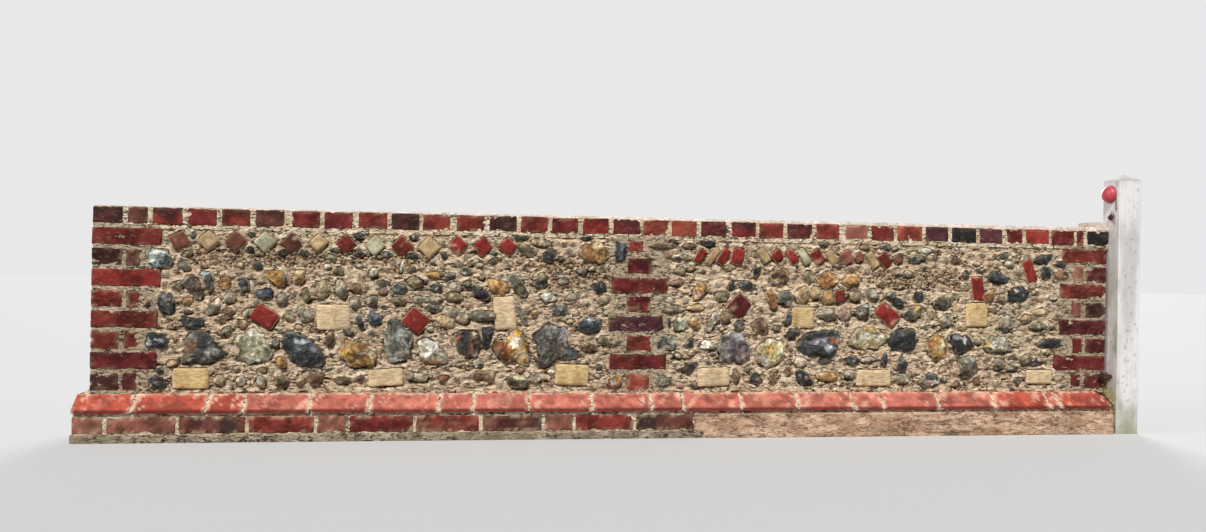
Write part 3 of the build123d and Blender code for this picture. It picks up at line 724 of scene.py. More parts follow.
# The other stones by kind: place, width, height and tilt, with 0 left out. A colour holds for all the
# entries after it. A knapped stone has a broken face, a cobble is round, a block is of tooled
# limestone, and a bat is a piece of brick or a lozenge.
LEFT_LISTED = {
    "knapped": """
black 1132,684,42,26,-5 1530,762,54,20 1786,768,40,12 1160,590,40,22
ink 525,568,46,44 1080,562,60,50,-20 1220,566,60,36 545,698,30,22 735,686,34,22 935,690,36,24,-20
  345,744,26,20 1135,756,32,20,20 930,756,32,22,-25 1245,690,28,26 660,690,36,24
smoke 640,356,34,46 1025,580,46,22 1612,586,52,34 1435,698,26,18 548,752,26,16 840,698,34,16
  1330,628,44,26 1340,580,44,24,-20 1215,490,60,28 900,396,46,20,-10 1270,608,44,32
navy 1035,688,40,20
""",
    "cobble": """
brown 190,500,28,34 450,440,40,30,10 835,368,38,62,4 925,560,52,46 1380,232,46,40 1425,236,58,52,20
  470,470,40,34 1805,342,62,34,-15 785,224,56,52,20 520,425,46,40 1540,255,40,30
amber 458,575,46,52 1212,614,62,30,-8 1450,572,86,58,-30 660,282,44,44,20 330,505,44,30,30
buff 715,600,48,62 1255,440,80,56,-10
grey 478,520,46,44 660,515,54,48 870,556,48,80,5 1290,572,56,44 1210,522,74,36 920,508,62,40,5
  980,514,58,42,-5 742,462,72,62 520,216,46,46 590,214,44,44 1390,462,118,44,4 1160,228,66,38
  1130,232,40,34 1600,222,52,36 536,462,36,36 1275,474,84,50,-6 1150,520,44,36 1740,540,60,30,10
  1770,640,50,26 1700,600,46,30,15
olive 800,556,54,78,-4 1140,586,70,50 745,532,40,60 690,452,44,46 445,216,50,46 730,216,46,44
  1280,532,74,36 1555,716,90,40,-30 1320,452,60,40 1880,372,94,44 660,214,50,48 1610,745,96,34,-6
  880,216,60,28 1080,515,56,34 1620,610,50,36,20 1860,530,70,36,10 1900,470,60,34
rust 1250,224,40,28 945,222,40,26
white 1090,645,16,62,-12 820,640,30,20 1660,250,36,24
""",
    "block": """
buff 345,224,128,76 sand 843,452,122,94,2 1038,228,128,64,3 1478,474,82,128,6 buff 1740,238,130,80,-2
""",
    "bat": """
dull 298,724,62,60,28 stone 397,727,58,56,45 dull 493,727,62,60,47 pale 595,727,60,58,45 brown
690,722,60,58,42 stone 785,727,54,50,45 red 885,725,58,56,45 pale 990,722,60,58,45 red 1090,720,60,62,45
stone 1190,718,64,62,45 bright 1295,728,56,56,50 1390,727,58,56,40 1485,728,54,56,48 598,452,92,66,-33
1145,442,84,76,-38
""",
}
RIGHT_LISTED = {
    "knapped": """
black 2276,758,64,24 2370,590,30,32 2120,442,20,36 3160,556,50,46,20 2620,402,36,40,-30 3018,300,20,56
ink 2435,592,92,30,-6 2150,692,34,14 2605,462,30,58 2880,296,80,36,-8 3070,530,56,40
smoke 3800,700,56,22 2745,762,50,16 3015,756,52,24 2405,432,42,42 2762,300,60,26,8 3150,712,82,26,6
  2475,224,62,52,-15 3040,560,46,36 3545,440,44,50,20 3680,290,80,26,10
""",
    "cobble": """
brown 2082,740,108,34 2395,230,36,62,-8 2345,460,48,52 2545,222,30,52,15 2490,432,84,66,-15 2925,756,44,24
  2200,745,56,24
amber 2775,548,52,60 2225,440,46,50 2868,622,78,58,-8 2775,232,110,44,-4 3470,560,50,64
buff 2225,502,82,30,4 2665,556,62,76 3700,500,84,34,4 2716,566,46,60 3640,470,50,40
grey 2138,494,104,32,2 2110,535,70,30,-20 2960,562,54,62,-30 2098,216,80,42 2770,484,96,50 3280,460,52,58
  3550,455,66,58,-14 3520,282,66,50 3580,272,50,40 3090,222,76,48 2950,300,66,26 3690,440,80,30
  2870,240,66,40 3560,700,50,30 3760,560,46,26
olive 2888,560,58,50,-20 3640,302,66,50 2690,626,56,62 3300,560,60,40 2330,550,70,40,10 2632,414,46,28
  3420,380,40,40
pink 2150,600,64,26 2842,482,60,52 3700,300,62,18
white 2660,290,62,42 3180,745,60,30
rust 3330,200,34,22 3420,215,40,30 2610,250,30,30
""",
    "block": """
sand 2302,230,130,74,2 buff 2667,468,92,84 sand 2970,226,150,66 buff 3415,486,96,98,2 sand 3700,230,118,58
""",
    "bat": """
bright 2240,706,32,62,-32 stone 2290,706,26,74,-32 bright 2336,706,36,68,-30 2392,708,50,64,-14 stone
2500,714,34,64,34 bright 2556,714,42,42,42 2617,712,36,60,34 pale 2668,712,32,72,34 bright
2724,712,44,58,34 stone 2785,710,34,62,34 pink 2848,712,44,54,30 2902,714,30,36,30 stone 2958,704,34,68,34
red 3010,705,40,58,38 dull 3068,710,34,36,38 maroon 2400,510,76,84,-42 bright 3025,482,104,62,-38 red
2822,556,44,52,10 bright 3418,592,50,102,8 3648,670,44,98,20
""",
}
# Bands where the mortar is full of gravel: from, to, bottom, top
GRAVEL_BANDS = ((300, 1180, 636, 700), (2940, 3380, 588, 668), (1560, 1900, 560, 680))
GRAVEL_COLOURS = "brown buff brown grey rust olive pink".split()
FILLER_COLOURS = "grey olive grey brown olive smoke buff grey black pink".split()
# Small stones that fill the gaps: kind, how many, and smallest and largest width
FILLERS = (("cobble", 34, (24, 44)), ("mound", 120, (22, 46)), ("pebble", 40, (9, 18)))
# Edges of stones: how square, how ragged, and how many broken sides
EDGES = {
    "knapped": (2.6, 0.3, 6), "cobble": (2.4, 0.3, 7), "block": (20, 0.05), "bat": (14, 0.08),
    "pebble": (2.2, 0.2),
}
# How a stone swells over its radius: the power of the curve, and how deep its edge is sunk
DOME, SLAB, SHOULDER = (2.4, 0.15), (9, 0.2), (7, 0.2)
# Marks on the post's street face, and stains on its wall side with their colours: place across and
# up, half width and half height
FRONT_MARKS = rows("""
2046,985,5,3 2056,975,3,4 2094,1020,3,7 2091,962,2,3 2078,946,3,3 2090,932,3,6 2058,930,2,4 2063,905,4,3
2083,894,3,4 2035,868,4,5 2062,870,6,2 2088,842,3,8 2070,812,7,3 2043,790,3,4 2084,752,3,5 2053,722,5,2
2076,690,4,5 2040,655,3,7 2092,640,2,9 2061,610,6,3 2048,560,4,4 2082,545,5,3 2068,500,3,8 2036,470,3,5
2090,455,3,6 2055,430,6,2 2076,392,4,4 2044,360,5,3 2088,330,3,8 2062,300,5,4 2078,262,6,3 2041,240,3,6
2056,205,7,3 2086,180,4,5 2066,140,6,4
""")
POST_STAINS = (
    (-146, 958, 9, 34, tone(84, 96, 66)),
    (-128, 904, 17, 26, tone(96, 66, 44)),
    (-140, 878, 6, 24, tone(150, 118, 84)),
    (-150, 1042, 4, 9, tone(96, 94, 84)),
)


def listed(text):
    """The stones of a list, as (colour, along, up, width, height, tilt)."""
    for entry in rows(text):
        if len(entry) == 1:
            colour = entry[0]
        else:
            yield (colour, *entry, 0)[:6]


def drawn_stones(text):
    """The drawn stones, as (colour, gloss, corners, patches)."""
    stones = []
    for entry in rows(text):
        if len(entry) == 5:
            stones[-1][3].append(entry)
        elif isinstance(entry[0], str):
            stones.append((*entry, [], []))
        else:
            stones[-1][2].append(entry)
    return stones


# Bricks


def brick(batch, low, high, colour, seed, cell, soot, smear, wear=1.0, patch_at=None):
    """A brick between two corners, standing on its bed, with worn arrises and a rough face.

    soot darkens its upper part, smear is how much mortar is left on it, and patch_at is the place
    and half width of a burnt patch.
    """
    low, high = np.array(low, float), np.array(high, float)
    size, middle = high - low, (low + high) / 2
    levels = spaced(low[2], high[2], cell)
    rings = loft(walk(chamfered(low, high), cell), levels)
    down = np.minimum(levels - low[2], high[2] - levels)
    inset = 3.0 * (1 - smooth(0, 4.5, down))[:, None, None]
    off = rings[..., :2] - middle[:2]
    rings[..., :2] -= inset * np.sign(off) * (np.abs(off) > size[:2] / 2 - 8)
    gap = np.minimum(rings - low, high - rings)
    gap.sort(axis=-1)
    near_edge = 1 - smooth(2, 18, gap[..., 1])
    shift = np.array([13.7, 5.1, 9.3]) * seed
    grain = grains(rings + shift, seed)
    rough = grain(18, 5)
    chip = smooth(0.15, 0.7, grain(24, 9, 2)) * near_edge
    rings += 1.6 * wear * wobble(rings + shift, 40, seed) * (0.4 + 0.6 * near_edge[..., None])
    out = (rings - middle) / (size / 2)
    push = np.sign(out) * (np.abs(out) > 0.86)
    rings += push * (0.9 * rough - 3.2 * wear * chip)[..., None]
    grain = grains(rings + shift, seed)
    paint = mix(colour * 0.5, colour * 1.26, smooth(-0.4, 0.4, grain(44, 21)))
    paint = paint * (1 + 0.36 * grain(10, 31, 2))[..., None]
    if soot:
        height = (rings[..., 2] - low[2]) / size[2]
        burnt = smooth(0.35, 1.0, height + 0.5 * grain(30, 41, 2))
        paint = mix(paint, SOOT, np.clip(soot * burnt, 0, 1))
    if patch_at:
        away = np.hypot((rings[..., 0] - patch_at[0]) / patch_at[1], out[..., 2] * 0.6)
        paint = mix(paint, SOOT * 1.6, 0.8 * smooth(1.2, 0.5, away + 0.4 * rough))
    dust = 0.4 * smooth(0.2, 0.75, grain((60, 60, 20), 51)) * smear
    dust = np.clip(dust + 0.9 * smear * near_edge * smooth(-0.1, 0.5, rough), 0, 0.8)
    ends = [(middle[0], middle[1], rings[end, :, 2].mean()) for end in (0, -1)]
    batch.tube(rings, *ends, mix(paint, MORTAR, dust), 0.05)


# Edges and faces of the stones


def circle(spokes):
    """Angles all round, and the same as points on a circle."""
    angle = np.linspace(0, 2 * math.pi, spokes, endpoint=False)
    return angle, np.stack([np.cos(angle), np.sin(angle), np.full(spokes, 0.5)], -1)


def rounded(spokes, place, seed, square, ragged, broken=0):
    """The edge of a stone of place's width and height, as offsets from its middle."""
    width, height, tilt = place[2:]
    angle, way = circle(spokes)
    reach = (np.abs(way[:, 0]) ** square + np.abs(way[:, 1]) ** square) ** (-1 / square)
    if broken:
        draw = np.random.default_rng(seed)
        turns = (np.arange(broken) + draw.uniform(-0.35, 0.35, broken)) * 2 * math.pi / broken
        turns += draw.uniform(0, 6)
        flats = draw.uniform(0.74, 1.0, broken)
        facing = np.cos(angle[:, None] - turns) / flats
        reach = np.minimum(reach * 1.1, 1 / np.maximum(facing.max(1), 0.2))
    reach = reach * (1 + ragged * fractal(way, 0.7, seed, 3))
    flat = way[:, :2] * reach[:, None] * (width / 2, height / 2)
    turn = math.radians(tilt)
    return flat @ np.array([[math.cos(turn), math.sin(turn)], [-math.sin(turn), math.cos(turn)]])


def drawn(spokes, corners, seed):
    """The edge of a stone with drawn corners, as offsets from the middle of its corners."""
    way = circle(spokes)[1]
    starts = np.array(corners, float)
    starts -= starts.mean(0)
    reach = np.full(spokes, 4.0)
    for start, end in zip(starts, np.roll(starts, -1, axis=0)):
        side = end - start
        turn = way[:, 0] * side[1] - way[:, 1] * side[0]
        turn = np.where(np.abs(turn) < 1e-9, 1e-9, turn)
        out = (start[0] * side[1] - start[1] * side[0]) / turn
        share = (start[0] * way[:, 1] - start[1] * way[:, 0]) / turn
        reach = np.where((out > 0) & (share >= 0) & (share <= 1), np.maximum(reach, out), reach)
    ragged = 1.05 + 0.2 * fractal(way, 0.5, seed, 3) - 0.4 * np.abs(fractal(way, 0.5, seed + 1, 2))
    return way[:, :2] * (reach * ragged)[:, None]


def bedded(batch, side, middle, line, seed, proud, swell, paint, rings, scoops=0, lean=0.3):
    """A stone bedded in a face: rings that grow from its middle to its edge, then go into the mortar.

    side is -1 on the street face and 1 on the garden face. line is the stone's edge, and swell its
    height over the radius. The scoops are faces struck off it, nearly flat, each of its own
    lightness in struck, which is 1 where the rind is left: a painted shade for how each face
    catches the light.
    """
    spokes = len(line)
    width, height = np.ptp(line, axis=0)
    big = max(width, height)
    part = np.sin(np.linspace(0.08, 1, rings) * math.pi / 2)
    spread = part[:, None, None] * line
    local = np.concatenate([spread, np.zeros((rings, spokes, 1))], -1)
    grain = grains(local + np.array([31.7, 11.9, 5.3]) * (seed % 97), seed)
    power, sunk = swell
    bed = (np.sqrt(np.maximum(1 - part**power, 0)) * (1 + sunk) - sunk)[:, None]
    draw = np.random.default_rng(seed + 1)
    slope = spread @ draw.uniform(-lean, lean, 2) / (0.5 * big)
    rise = proud * bed * (1 + 0.38 * grain(big * 0.45, 0) + slope) + 1.2 * grain(13, 3) * (bed > 0.05)
    struck = np.ones((rings, spokes))
    for scoop in range(scoops):
        turn = 2 * math.pi * (scoop + draw.uniform(-0.3, 0.3)) / scoops
        off = draw.uniform(0.05, 0.4) * np.array([width * math.cos(turn), height * math.sin(turn)])
        offset = spread - off
        fall = draw.uniform(0.3, 1.5) * 2 * proud / big
        face = proud * draw.uniform(0.55, 1.0) - fall * (offset @ np.array([math.cos(turn), math.sin(turn)]))
        face += (offset**2).sum(-1) / (5 * big)
        face = np.maximum(face + 0.7 * np.sin(np.hypot(*offset.T).T * 0.5), 0.2 * proud)
        struck = np.where(face < rise, draw.uniform(0.1, 0.9), struck)
        rise = np.minimum(rise, face)
    points = np.empty((rings + 1, spokes, 3))
    points[:-1, :, 0] = along(middle[0]) + spread[..., 0]
    points[:-1, :, 1] = side * (PANEL_FACE + np.maximum(rise, -6))
    points[:-1, :, 2] = middle[1] + spread[..., 1]
    points[-1] = points[-2]
    points[-1, :, 1] = side * (PANEL_FACE - 14)
    colours, gloss = paint(local, grain, struck, np.broadcast_to(part[:, None], rise.shape), seed)
    colours = np.concatenate([colours, colours[-1:]])
    gloss = np.concatenate([gloss, gloss[-1:]])
    top = (along(middle[0]), points[0, :, 1].mean(), middle[1])
    back = (along(middle[0]), side * (PANEL_FACE - 16), middle[1])
    batch.tube(points, top, back, colours, gloss)


def paint_cobble(colour, local, grain, struck, part, seed):
    dark, light = STONE_TONES[colour]
    draw = np.random.default_rng(seed)
    shades = mix(dark, light, smooth(-0.35, 0.4, grain(24, 11))) * draw.uniform(0.85, 1.35)
    fleck = grain(8, 13, 2)
    shades = shades * (1 + 0.3 * fleck)[..., None]
    # Painted light and shade: each cobble is lighter on its upper half and darker on its lower half, as light
    # from above falls on it.
    shades = shades * (0.9 + 0.14 * np.sign(local[..., 1]) * part)[..., None]
    rim = smooth(0.86, 1.0, part + 0.10 * fleck)
    mud = smooth(0.05, 0.5, grain(30, 15)) * draw.uniform(0.1, 0.7)
    return mix(shades, MORTAR, np.clip(0.5 * rim + mud, 0, 0.8)), np.full(part.shape, 0.3)


def paint_flint(colour, local, grain, struck, part, seed, gloss=0.7, middle=(0, 0), patches=(), rind=1.0):
    """Cloudy glass under a chalky rind, with the patches that the photo shows. Each struck face gets a
    painted shade of its own, and the rim gets a painted shade that is widest at the bottom.
    """
    dark, medium, light = FLINT_TONES[colour]
    shades = mix(dark, medium, smooth(-0.1, 0.1, grain(26, 11, 4)))
    pale = smooth(0.22, 0.32, grain(20, 17, 4))
    vein = 1 - smooth(0.0, 0.05, np.abs(grain(34, 18)))
    shades = mix(shades, light, np.clip(0.5 * pale + 0.3 * vein, 0, 1))
    rind_left = struck > 0.95
    ragged = grain(15, 19)
    for name, x, z, wide, tall in patches:
        away = np.hypot((local[..., 0] - x + middle[0]) / wide, (local[..., 1] - z + middle[1]) / tall)
        shades = mix(shades, PATCH_TONES[name], 0.75 * smooth(1.15, 0.95, away + 1.4 * ragged))
    # Painted shade and highlight: each struck face is lighter or darker, as if it caught the light at its own
    # angle.
    shades = shades * np.where(rind_left, 1.0, 0.4 + 1.3 * struck)[..., None]
    shades = shades * (1 + 0.3 * grain(8, 21, 2))[..., None]
    rim = smooth(0.86, 0.97, part + 0.14 * ragged) * smooth(-0.3, 0.2, grain(40, 24, 2))
    chalk = 0.6 * rind_left * smooth(0.0, 0.35, grain(30, 23, 2))
    chalk = np.clip(chalk + 0.8 * rim, 0, 1) * rind
    shades = mix(shades, CORTEX * (0.9 + 0.2 * ragged[..., None]), chalk)
    # Painted shade: the rim of each stone is darker, and the dark band is wider at the bottom, like the
    # shadow under a stone.
    under = smooth(0.8, 1.0, part - 0.25 * np.sign(local[..., 1]) * part)
    return shades * (1 - 0.35 * under)[..., None], gloss * (1 - chalk) + 0.1


def paint_bat(colour, local, grain, struck, part, seed):
    base = BAT_TONES[colour]
    shades = mix(base * 0.6, base * 1.08, smooth(-0.4, 0.5, grain(30, 11)))
    shades = shades * (1 + 0.3 * grain(7, 13, 2))[..., None]
    dust = 0.75 * smooth(0.92, 1.0, part + 0.05 * grain(12, 15, 2))
    dust = np.clip(dust + 0.4 * smooth(0.3, 0.6, grain(34, 18, 2)), 0, 0.8)
    return mix(shades, MORTAR, dust), np.full(part.shape, 0.08)


def paint_block(colour, local, grain, struck, part, seed):
    base = BLOCK_TONES[colour]
    shades = mix(base * 0.84, base * 1.1, smooth(-0.5, 0.5, grain(44, 11)))
    shades = mix(shades, tone(150, 112, 66), 0.45 * smooth(0.1, 0.6, grain((20, 60, 20), 13, 2)))
    dust = 0.7 * smooth(0.90, 1.0, part + 0.06 * grain(12, 15, 2))
    dust = np.clip(dust + 0.6 * smooth(0.2, 0.5, grain(50, 18, 2)), 0, 0.8)
    return mix(shades, MORTAR, dust), np.full(part.shape, 0.08)


# The stones of one bay


def crowded(place, taken):
    """Whether a stone at place would run into one that is there already."""
    x, z, width, height = place[:4]
    for other in taken:
        reach_x = (width + other[2]) / 2 + 1.5
        reach_z = (height + other[3]) / 2 + 1.5
        if ((x - other[0]) / reach_x) ** 4 + ((z - other[1]) / reach_z) ** 4 < 0.82:
            return True
    return False


def fillers(low, high, taken, count, sizes, seed, area):
    """Small stones drawn at random in area (from, to, bottom, top), kept off those that are there."""
    draw = np.random.default_rng(seed)
    found = []
    for _ in range(count * 14):
        if len(found) >= count:
            break
        width = draw.uniform(*sizes)
        height = width * draw.uniform(0.55, 0.95)
        place = (draw.uniform(*area[:2]), draw.uniform(*area[2:]), width, height, draw.uniform(-35, 35))
        if low + 10 < place[0] < high - 10 and not crowded(place, taken):
            found.append(place)
            taken.append(place)
    return found


def grade(place):
    """0, 1 or 2 for a small, medium or large stone."""
    return (max(place[2:4]) > 90) + (max(place[2:4]) > 45)


def stone_edge(kind, place, shape, seed):
    """The edge of a stone, with more points the larger it is. A mound has none."""
    if kind == "mound":
        return None
    spokes = 12 if kind == "pebble" else (20, 32, 60)[grade(place)]
    if kind == "drawn":
        return drawn(spokes, shape[2], seed)
    return rounded(spokes, place, seed, *EDGES[kind])


def stone_seed(index):
    return 1000 + index * 7


def bay_stones(low, high, drawn_text, texts, seed):
    """All the stones of a bay as (kind, colour, place, edge, drawn stone or None)."""
    stones = []
    for shape in drawn_stones(drawn_text):
        corners = np.array(shape[2])
        stones.append(("drawn", shape[0], (*corners.mean(0), *np.ptp(corners, axis=0), 0), shape))
    for kind, text in texts.items():
        stones += [(kind, colour, place, None) for colour, *place in listed(text)]
    taken = [stone[2] for stone in stones]
    taken += [
        (start + (end - start) / 2, course_bottom(course) + 32, end - start + 6, 80)
        for start, end, course, *_ in QUOIN_BRICKS
        if end > low - 80 and start < high + 80
    ]
    draw = np.random.default_rng(seed)
    area = (low, high, COURSES_BOTTOM + 14, COURSES_TOP - 16)
    for kind, count, sizes in FILLERS:
        for place in fillers(low, high, taken, count, sizes, draw.integers(1000), area):
            stones.append((kind, FILLER_COLOURS[draw.integers(10)], place, None))
    for band in GRAVEL_BANDS:
        share = max(0, min(high, band[1]) - max(low, band[0])) / 1000
        for place in fillers(low, high, taken, round(330 * share), (8, 17), seed + 3, band):
            stones.append(("pebble", GRAVEL_COLOURS[draw.integers(7)], place, None))
    return [
        (kind, colour, place, stone_edge(kind, place, shape, stone_seed(index)), shape)
        for index, (kind, colour, place, shape) in enumerate(stones)
    ]


def lay_stones(batches, stones, side):
    """Adds each stone to the batch of its kind on one face of the wall, simpler on the garden face."""
    street = side < 0
    for index, (kind, colour, place, line, shape) in enumerate(stones):
        if kind == "mound" or (kind == "pebble" and not street and index % 2):
            continue
        big, small = max(place[2:4]), min(place[2:4])
        rings = ((5, 8, 15) if street else (4, 5, 9))[grade(place)]
        batch = kind
        if kind == "drawn":
            _, gloss, _, patches = shape
            rind = 0.4 + 0.6 * (gloss < 0.6)
            paint = partial(paint_flint, colour, gloss=gloss, middle=place[:2], patches=patches, rind=rind)
            batch, how = "flint", (12 + 0.1 * big, SHOULDER, paint, rings, 9)
        elif kind == "knapped":
            paint = partial(paint_flint, colour)
            batch, how = "flint", (9 + 0.2 * small, SHOULDER, paint, max(4, rings - 2), 5)
        elif kind == "cobble":
            proud = (5 + 0.30 * small) * (0.75 + 0.15 * (index % 4))
            paint = partial(paint_cobble, colour)
            batch, how = "flint", (proud, DOME, paint, max(4, rings - 1), index % 3, 0.6)
        elif kind == "pebble":
            how = (4 + 0.3 * small, DOME, partial(paint_cobble, colour), 3)
        elif kind == "block":
            how = (8, SLAB, partial(paint_block, colour), rings, 0, 0.1)
        else:
            how = (11, SLAB, partial(paint_bat, colour), 8 if street else 5, 0, 0.25)
        bedded(batches[batch], side, place, line if street else line[::2], stone_seed(index), *how)


# The mortar that carries the stones and bricks: a front and a back body for each half of the wall


def round_stones(points, lumps, stones):
    """How the mortar lies round the stones, and the mounds it makes over hidden ones.

    Returns its height in millimetres, and the share and colour of stone that shows through it.
    """
    lift = np.zeros(points.shape[:-1])
    bare = np.zeros(points.shape[:-1])
    shades = np.zeros(points.shape)
    for kind, colour, (middle_x, middle_z, width, height, tilt), line, _ in stones:
        if kind == "pebble":
            continue
        far = max(width, height) / 2 + 34
        off_x, off_z = points[..., 0] - along(middle_x), points[..., 2] - middle_z
        near = (np.abs(off_x) < far) & (np.abs(off_z) < far)
        if not near.any():
            continue
        x, z, lump = off_x[near], off_z[near], lumps[near]
        if kind == "mound":
            turn = math.radians(tilt)
            across = x * math.cos(turn) + z * math.sin(turn)
            upward = z * math.cos(turn) - x * math.sin(turn)
            reach = np.hypot(2 * across / width, 2 * upward / height) * (1 + 0.35 * lump)
            swell = np.sqrt(np.maximum(1 - reach**2, 0))
            rise = (4 + 0.22 * height) * swell
            share = 0.75 * smooth(0.55, 0.9, swell + 0.5 * lump)
            shown = share > bare[near]
            bare[near] = np.where(shown, share, bare[near])
            stone = mix(*STONE_TONES[colour], smooth(-0.3, 0.4, lump))
            shades[near] = np.where(shown[..., None], stone, shades[near])
        else:
            turns = np.arctan2(line[:, 1], line[:, 0])
            order = np.argsort(turns)
            radius = np.interp(np.arctan2(z, x), turns[order], np.hypot(*line.T)[order], period=2 * math.pi)
            away = np.hypot(x, z) - radius
            over = smooth(-0.9, 0.7, z / height * 2 + 0.6 * lump)
            bank = 7.5 * over * np.exp(-(((away - 6 - 5 * lump) / 7) ** 2))
            rise = bank - 6 * (1 - over) * np.exp(-(((away - 3) / 6) ** 2))
            rise = np.where(away < 0, -8 * smooth(1, -9, away), rise)
        lift[near] = np.where(np.abs(rise) > np.abs(lift[near]), rise, lift[near])
    return lift, bare, shades


def mortar_body(name, low, high, side, stones, seed):
    """The rough mortar of half the wall on one side, with a flat face at the wall's middle."""
    across, upward = (4.5, 4.6) if side < 0 else (9.5, 9.0)
    outer = np.linspace(low, high, round((high - low) / across))
    inner = np.linspace(high, low, 12)
    depths = np.linspace(PANEL_FACE, 0, 14)[1:-1]
    plan_x = np.concatenate([outer, np.full(12, high), inner, np.full(12, low)])
    plan_y = np.concatenate([np.full(len(outer), -PANEL_FACE), -depths, np.zeros(12), -depths[::-1]])
    bottom, top = PLINTH_TOP - 4, COPING_BOTTOM + 2
    rings = loft(np.stack([plan_x, plan_y], -1), np.linspace(bottom, top, round((top - bottom) / upward)))
    outward = np.broadcast_to(plan_y < -PANEL_FACE + 0.01, rings.shape[:2])
    grain = grains(rings + np.array([0, 300 * (side + 1), 0]), seed)
    lumps = grain((30, 40, 17), 7)
    crumb = grain((11, 11, 7), 9, 2)
    pocket = smooth(0.12, 0.5, grain((36, 40, 13), 11))
    crease = 1 - smooth(0.0, 0.16, np.abs(grain((64, 60, 18), 31)))
    relief = 3.6 * grain((60, 60, 15), 0, 4) + 4.4 * lumps + 2.0 * crumb - 7.0 * pocket - 3.4 * crease
    place, height = rings[..., 0] - LEFT, rings[..., 2]
    gravel = np.zeros(place.shape)
    for start, end, low_z, high_z in GRAVEL_BANDS:
        inside = smooth(0, 60, place - start) * smooth(0, 60, end - place)
        gravel = np.maximum(gravel, inside * smooth(0, 20, height - low_z) * smooth(0, 20, high_z - height))
    relief += gravel * (5 * grain((13, 13, 9), 15, 2) - 1)
    quoin = np.minimum(1, smooth(236, 205, place) + smooth(3775, 3805, place))
    pier = smooth(135, 100, np.abs(rings[..., 0] - MIDDLE))
    calm = np.maximum(quoin, pier)
    lift, bare, shades = round_stones(rings, lumps, stones)
    lift, bare = lift * (1 - calm), bare * (1 - calm)
    relief = relief * (1 - 0.55 * calm) * (1 - 0.5 * bare) + 4.2 * calm + lift
    top_share = smooth(COURSES_TOP - 10, COPING_BOTTOM, height)
    relief = np.minimum(relief * (1 - 0.4 * top_share) + 2.5 * top_share, 14)
    rings[..., 1] -= outward * relief
    sideways = np.where(outward | (plan_y > -0.01), 0, np.sign(rings[..., 0] - (low + high) / 2))
    rings[..., 0] += sideways * np.clip(relief * 0.4, -3, 1.5)
    paint = layered(
        MORTAR,
        (MORTAR_PALE, 0.55 * smooth(-0.2, 0.5, grain((34, 34, 16), 25))),
        (MORTAR_PINK, 0.45 * smooth(-0.4, 0.5, grain(120, 21))),
        (MORTAR_BROWN, 0.6 * gravel * smooth(-0.6, 0.3, lumps)),
        # Painted highlight on the raised mortar, and painted shade in its hollows and along its creases.
        (MORTAR_PALE, 0.5 * smooth(2.0, 7.0, relief) * (1 - bare)),
        (MORTAR_SHADE, 0.9 * smooth(-3.0, -9.0, relief)),
        (MORTAR_SHADE, 0.4 * crease * (1 - calm)),
        (MORTAR_BROWN * 0.6, 0.35 * smooth(0.3, 0.6, crumb)),
    )
    paint = paint * (0.92 + 0.12 * smooth(-0.5, 0.5, grain(260, 35, 2)))[..., None]
    # Darker by the quoins and pier: partly the mortar's own tone there, partly painted shade between the
    # bricks.
    paint = mix(paint * (1 - 0.34 * calm)[..., None], shades, bare)
    middle = ((low + high) / 2, side * PANEL_FACE / 2)
    batch = Batch()
    batch.tube(rings * np.array([1, -side, 1]), (*middle, bottom), (*middle, top), paint, 0.03)
    batch.make(name, mortar_material, "mortar", sharp=60)


# Paint of the mortar in long runs. Each takes the points with the run's own shift, and the true ones.


def paint_joint(shifted, rings):
    sandy = smooth(-0.3, 0.5, fractal(shifted, 40, 5))
    dark = smooth(0.2, 0.6, fractal(shifted, (30, 20, 14), 9))
    return layered(MORTAR, (MORTAR_PALE, sandy), (MORTAR_SHADE, 0.35 * dark))


def paint_skim(shifted, rings):
    """Pale lime with grime, and moss towards the left end."""
    place = rings[..., 0]
    sandy = smooth(-0.3, 0.5, fractal(shifted, 40, 5))
    grime = smooth(0.15, 0.6, fractal(shifted, (120, 60, 60), 15))
    moss = smooth(0.3, 0.6, fractal(shifted, (50, 50, 30), 19)) * smooth(RIGHT, LEFT, place)
    return layered(
        tone(214, 192, 174),
        (tone(234, 220, 208), sandy),
        (tone(160, 146, 122), 0.4 * grime * smooth(RIGHT - 200, LEFT + 900, place)),
        (tone(96, 94, 66), 0.5 * moss),
    )


def paint_mortar(seed, base=MORTAR, other=MORTAR_PALE, damp=0.0):
    def paint(shifted, rings):
        dark = smooth(0.1, 0.6, fractal(shifted, (30, 20, 12), seed + 4))
        low = smooth(70, 0, rings[..., 2]) * damp
        return layered(
            base,
            (other, smooth(-0.4, 0.5, fractal(shifted, 45, seed))),
            (MORTAR_SHADE, 0.5 * dark),
            (tone(120, 106, 84), low * smooth(-0.4, 0.4, fractal(shifted, 60, seed + 8))),
        )

    return paint


def paint_haunch(shifted, rings):
    """Pinkish mortar with dark seams along it, damp at its foot."""
    seam = 1 - smooth(0.0, 0.09, np.abs(fractal(shifted, (170, 60, 24), 93, 4)))
    broken = smooth(-0.2, 0.1, fractal(shifted, 90, 94, 2))
    damp = smooth(46, 0, rings[..., 2]) * smooth(-0.4, 0.4, fractal(shifted, 60, 99))
    return layered(
        tone(180, 143, 116),
        (tone(222, 186, 156), smooth(-0.3, 0.3, fractal(shifted, (70, 40, 30), 91, 4))),
        (tone(84, 64, 46), 0.85 * seam * broken),
        (tone(132, 116, 92), 0.45 * damp),
    )


def run(name, nodes, corners, steps, low, high, step, paint, rough, seed, clip=None, material=None, sharp=60):
    """A piece of mortar of one section, run along the wall from low to high."""
    batch = Batch()
    section = walk(corners, steps) if steps else corners
    bar(batch, section, low, high, step, paint, rough, seed, clip)
    batch.make(name, material or mortar_material, "mortar", nodes, sharp)


def upright(face, bottom, top):
    """A rectangle across the wall."""
    return [(-face, bottom), (face, bottom), (face, top), (-face, top)]


# Quoins and pier

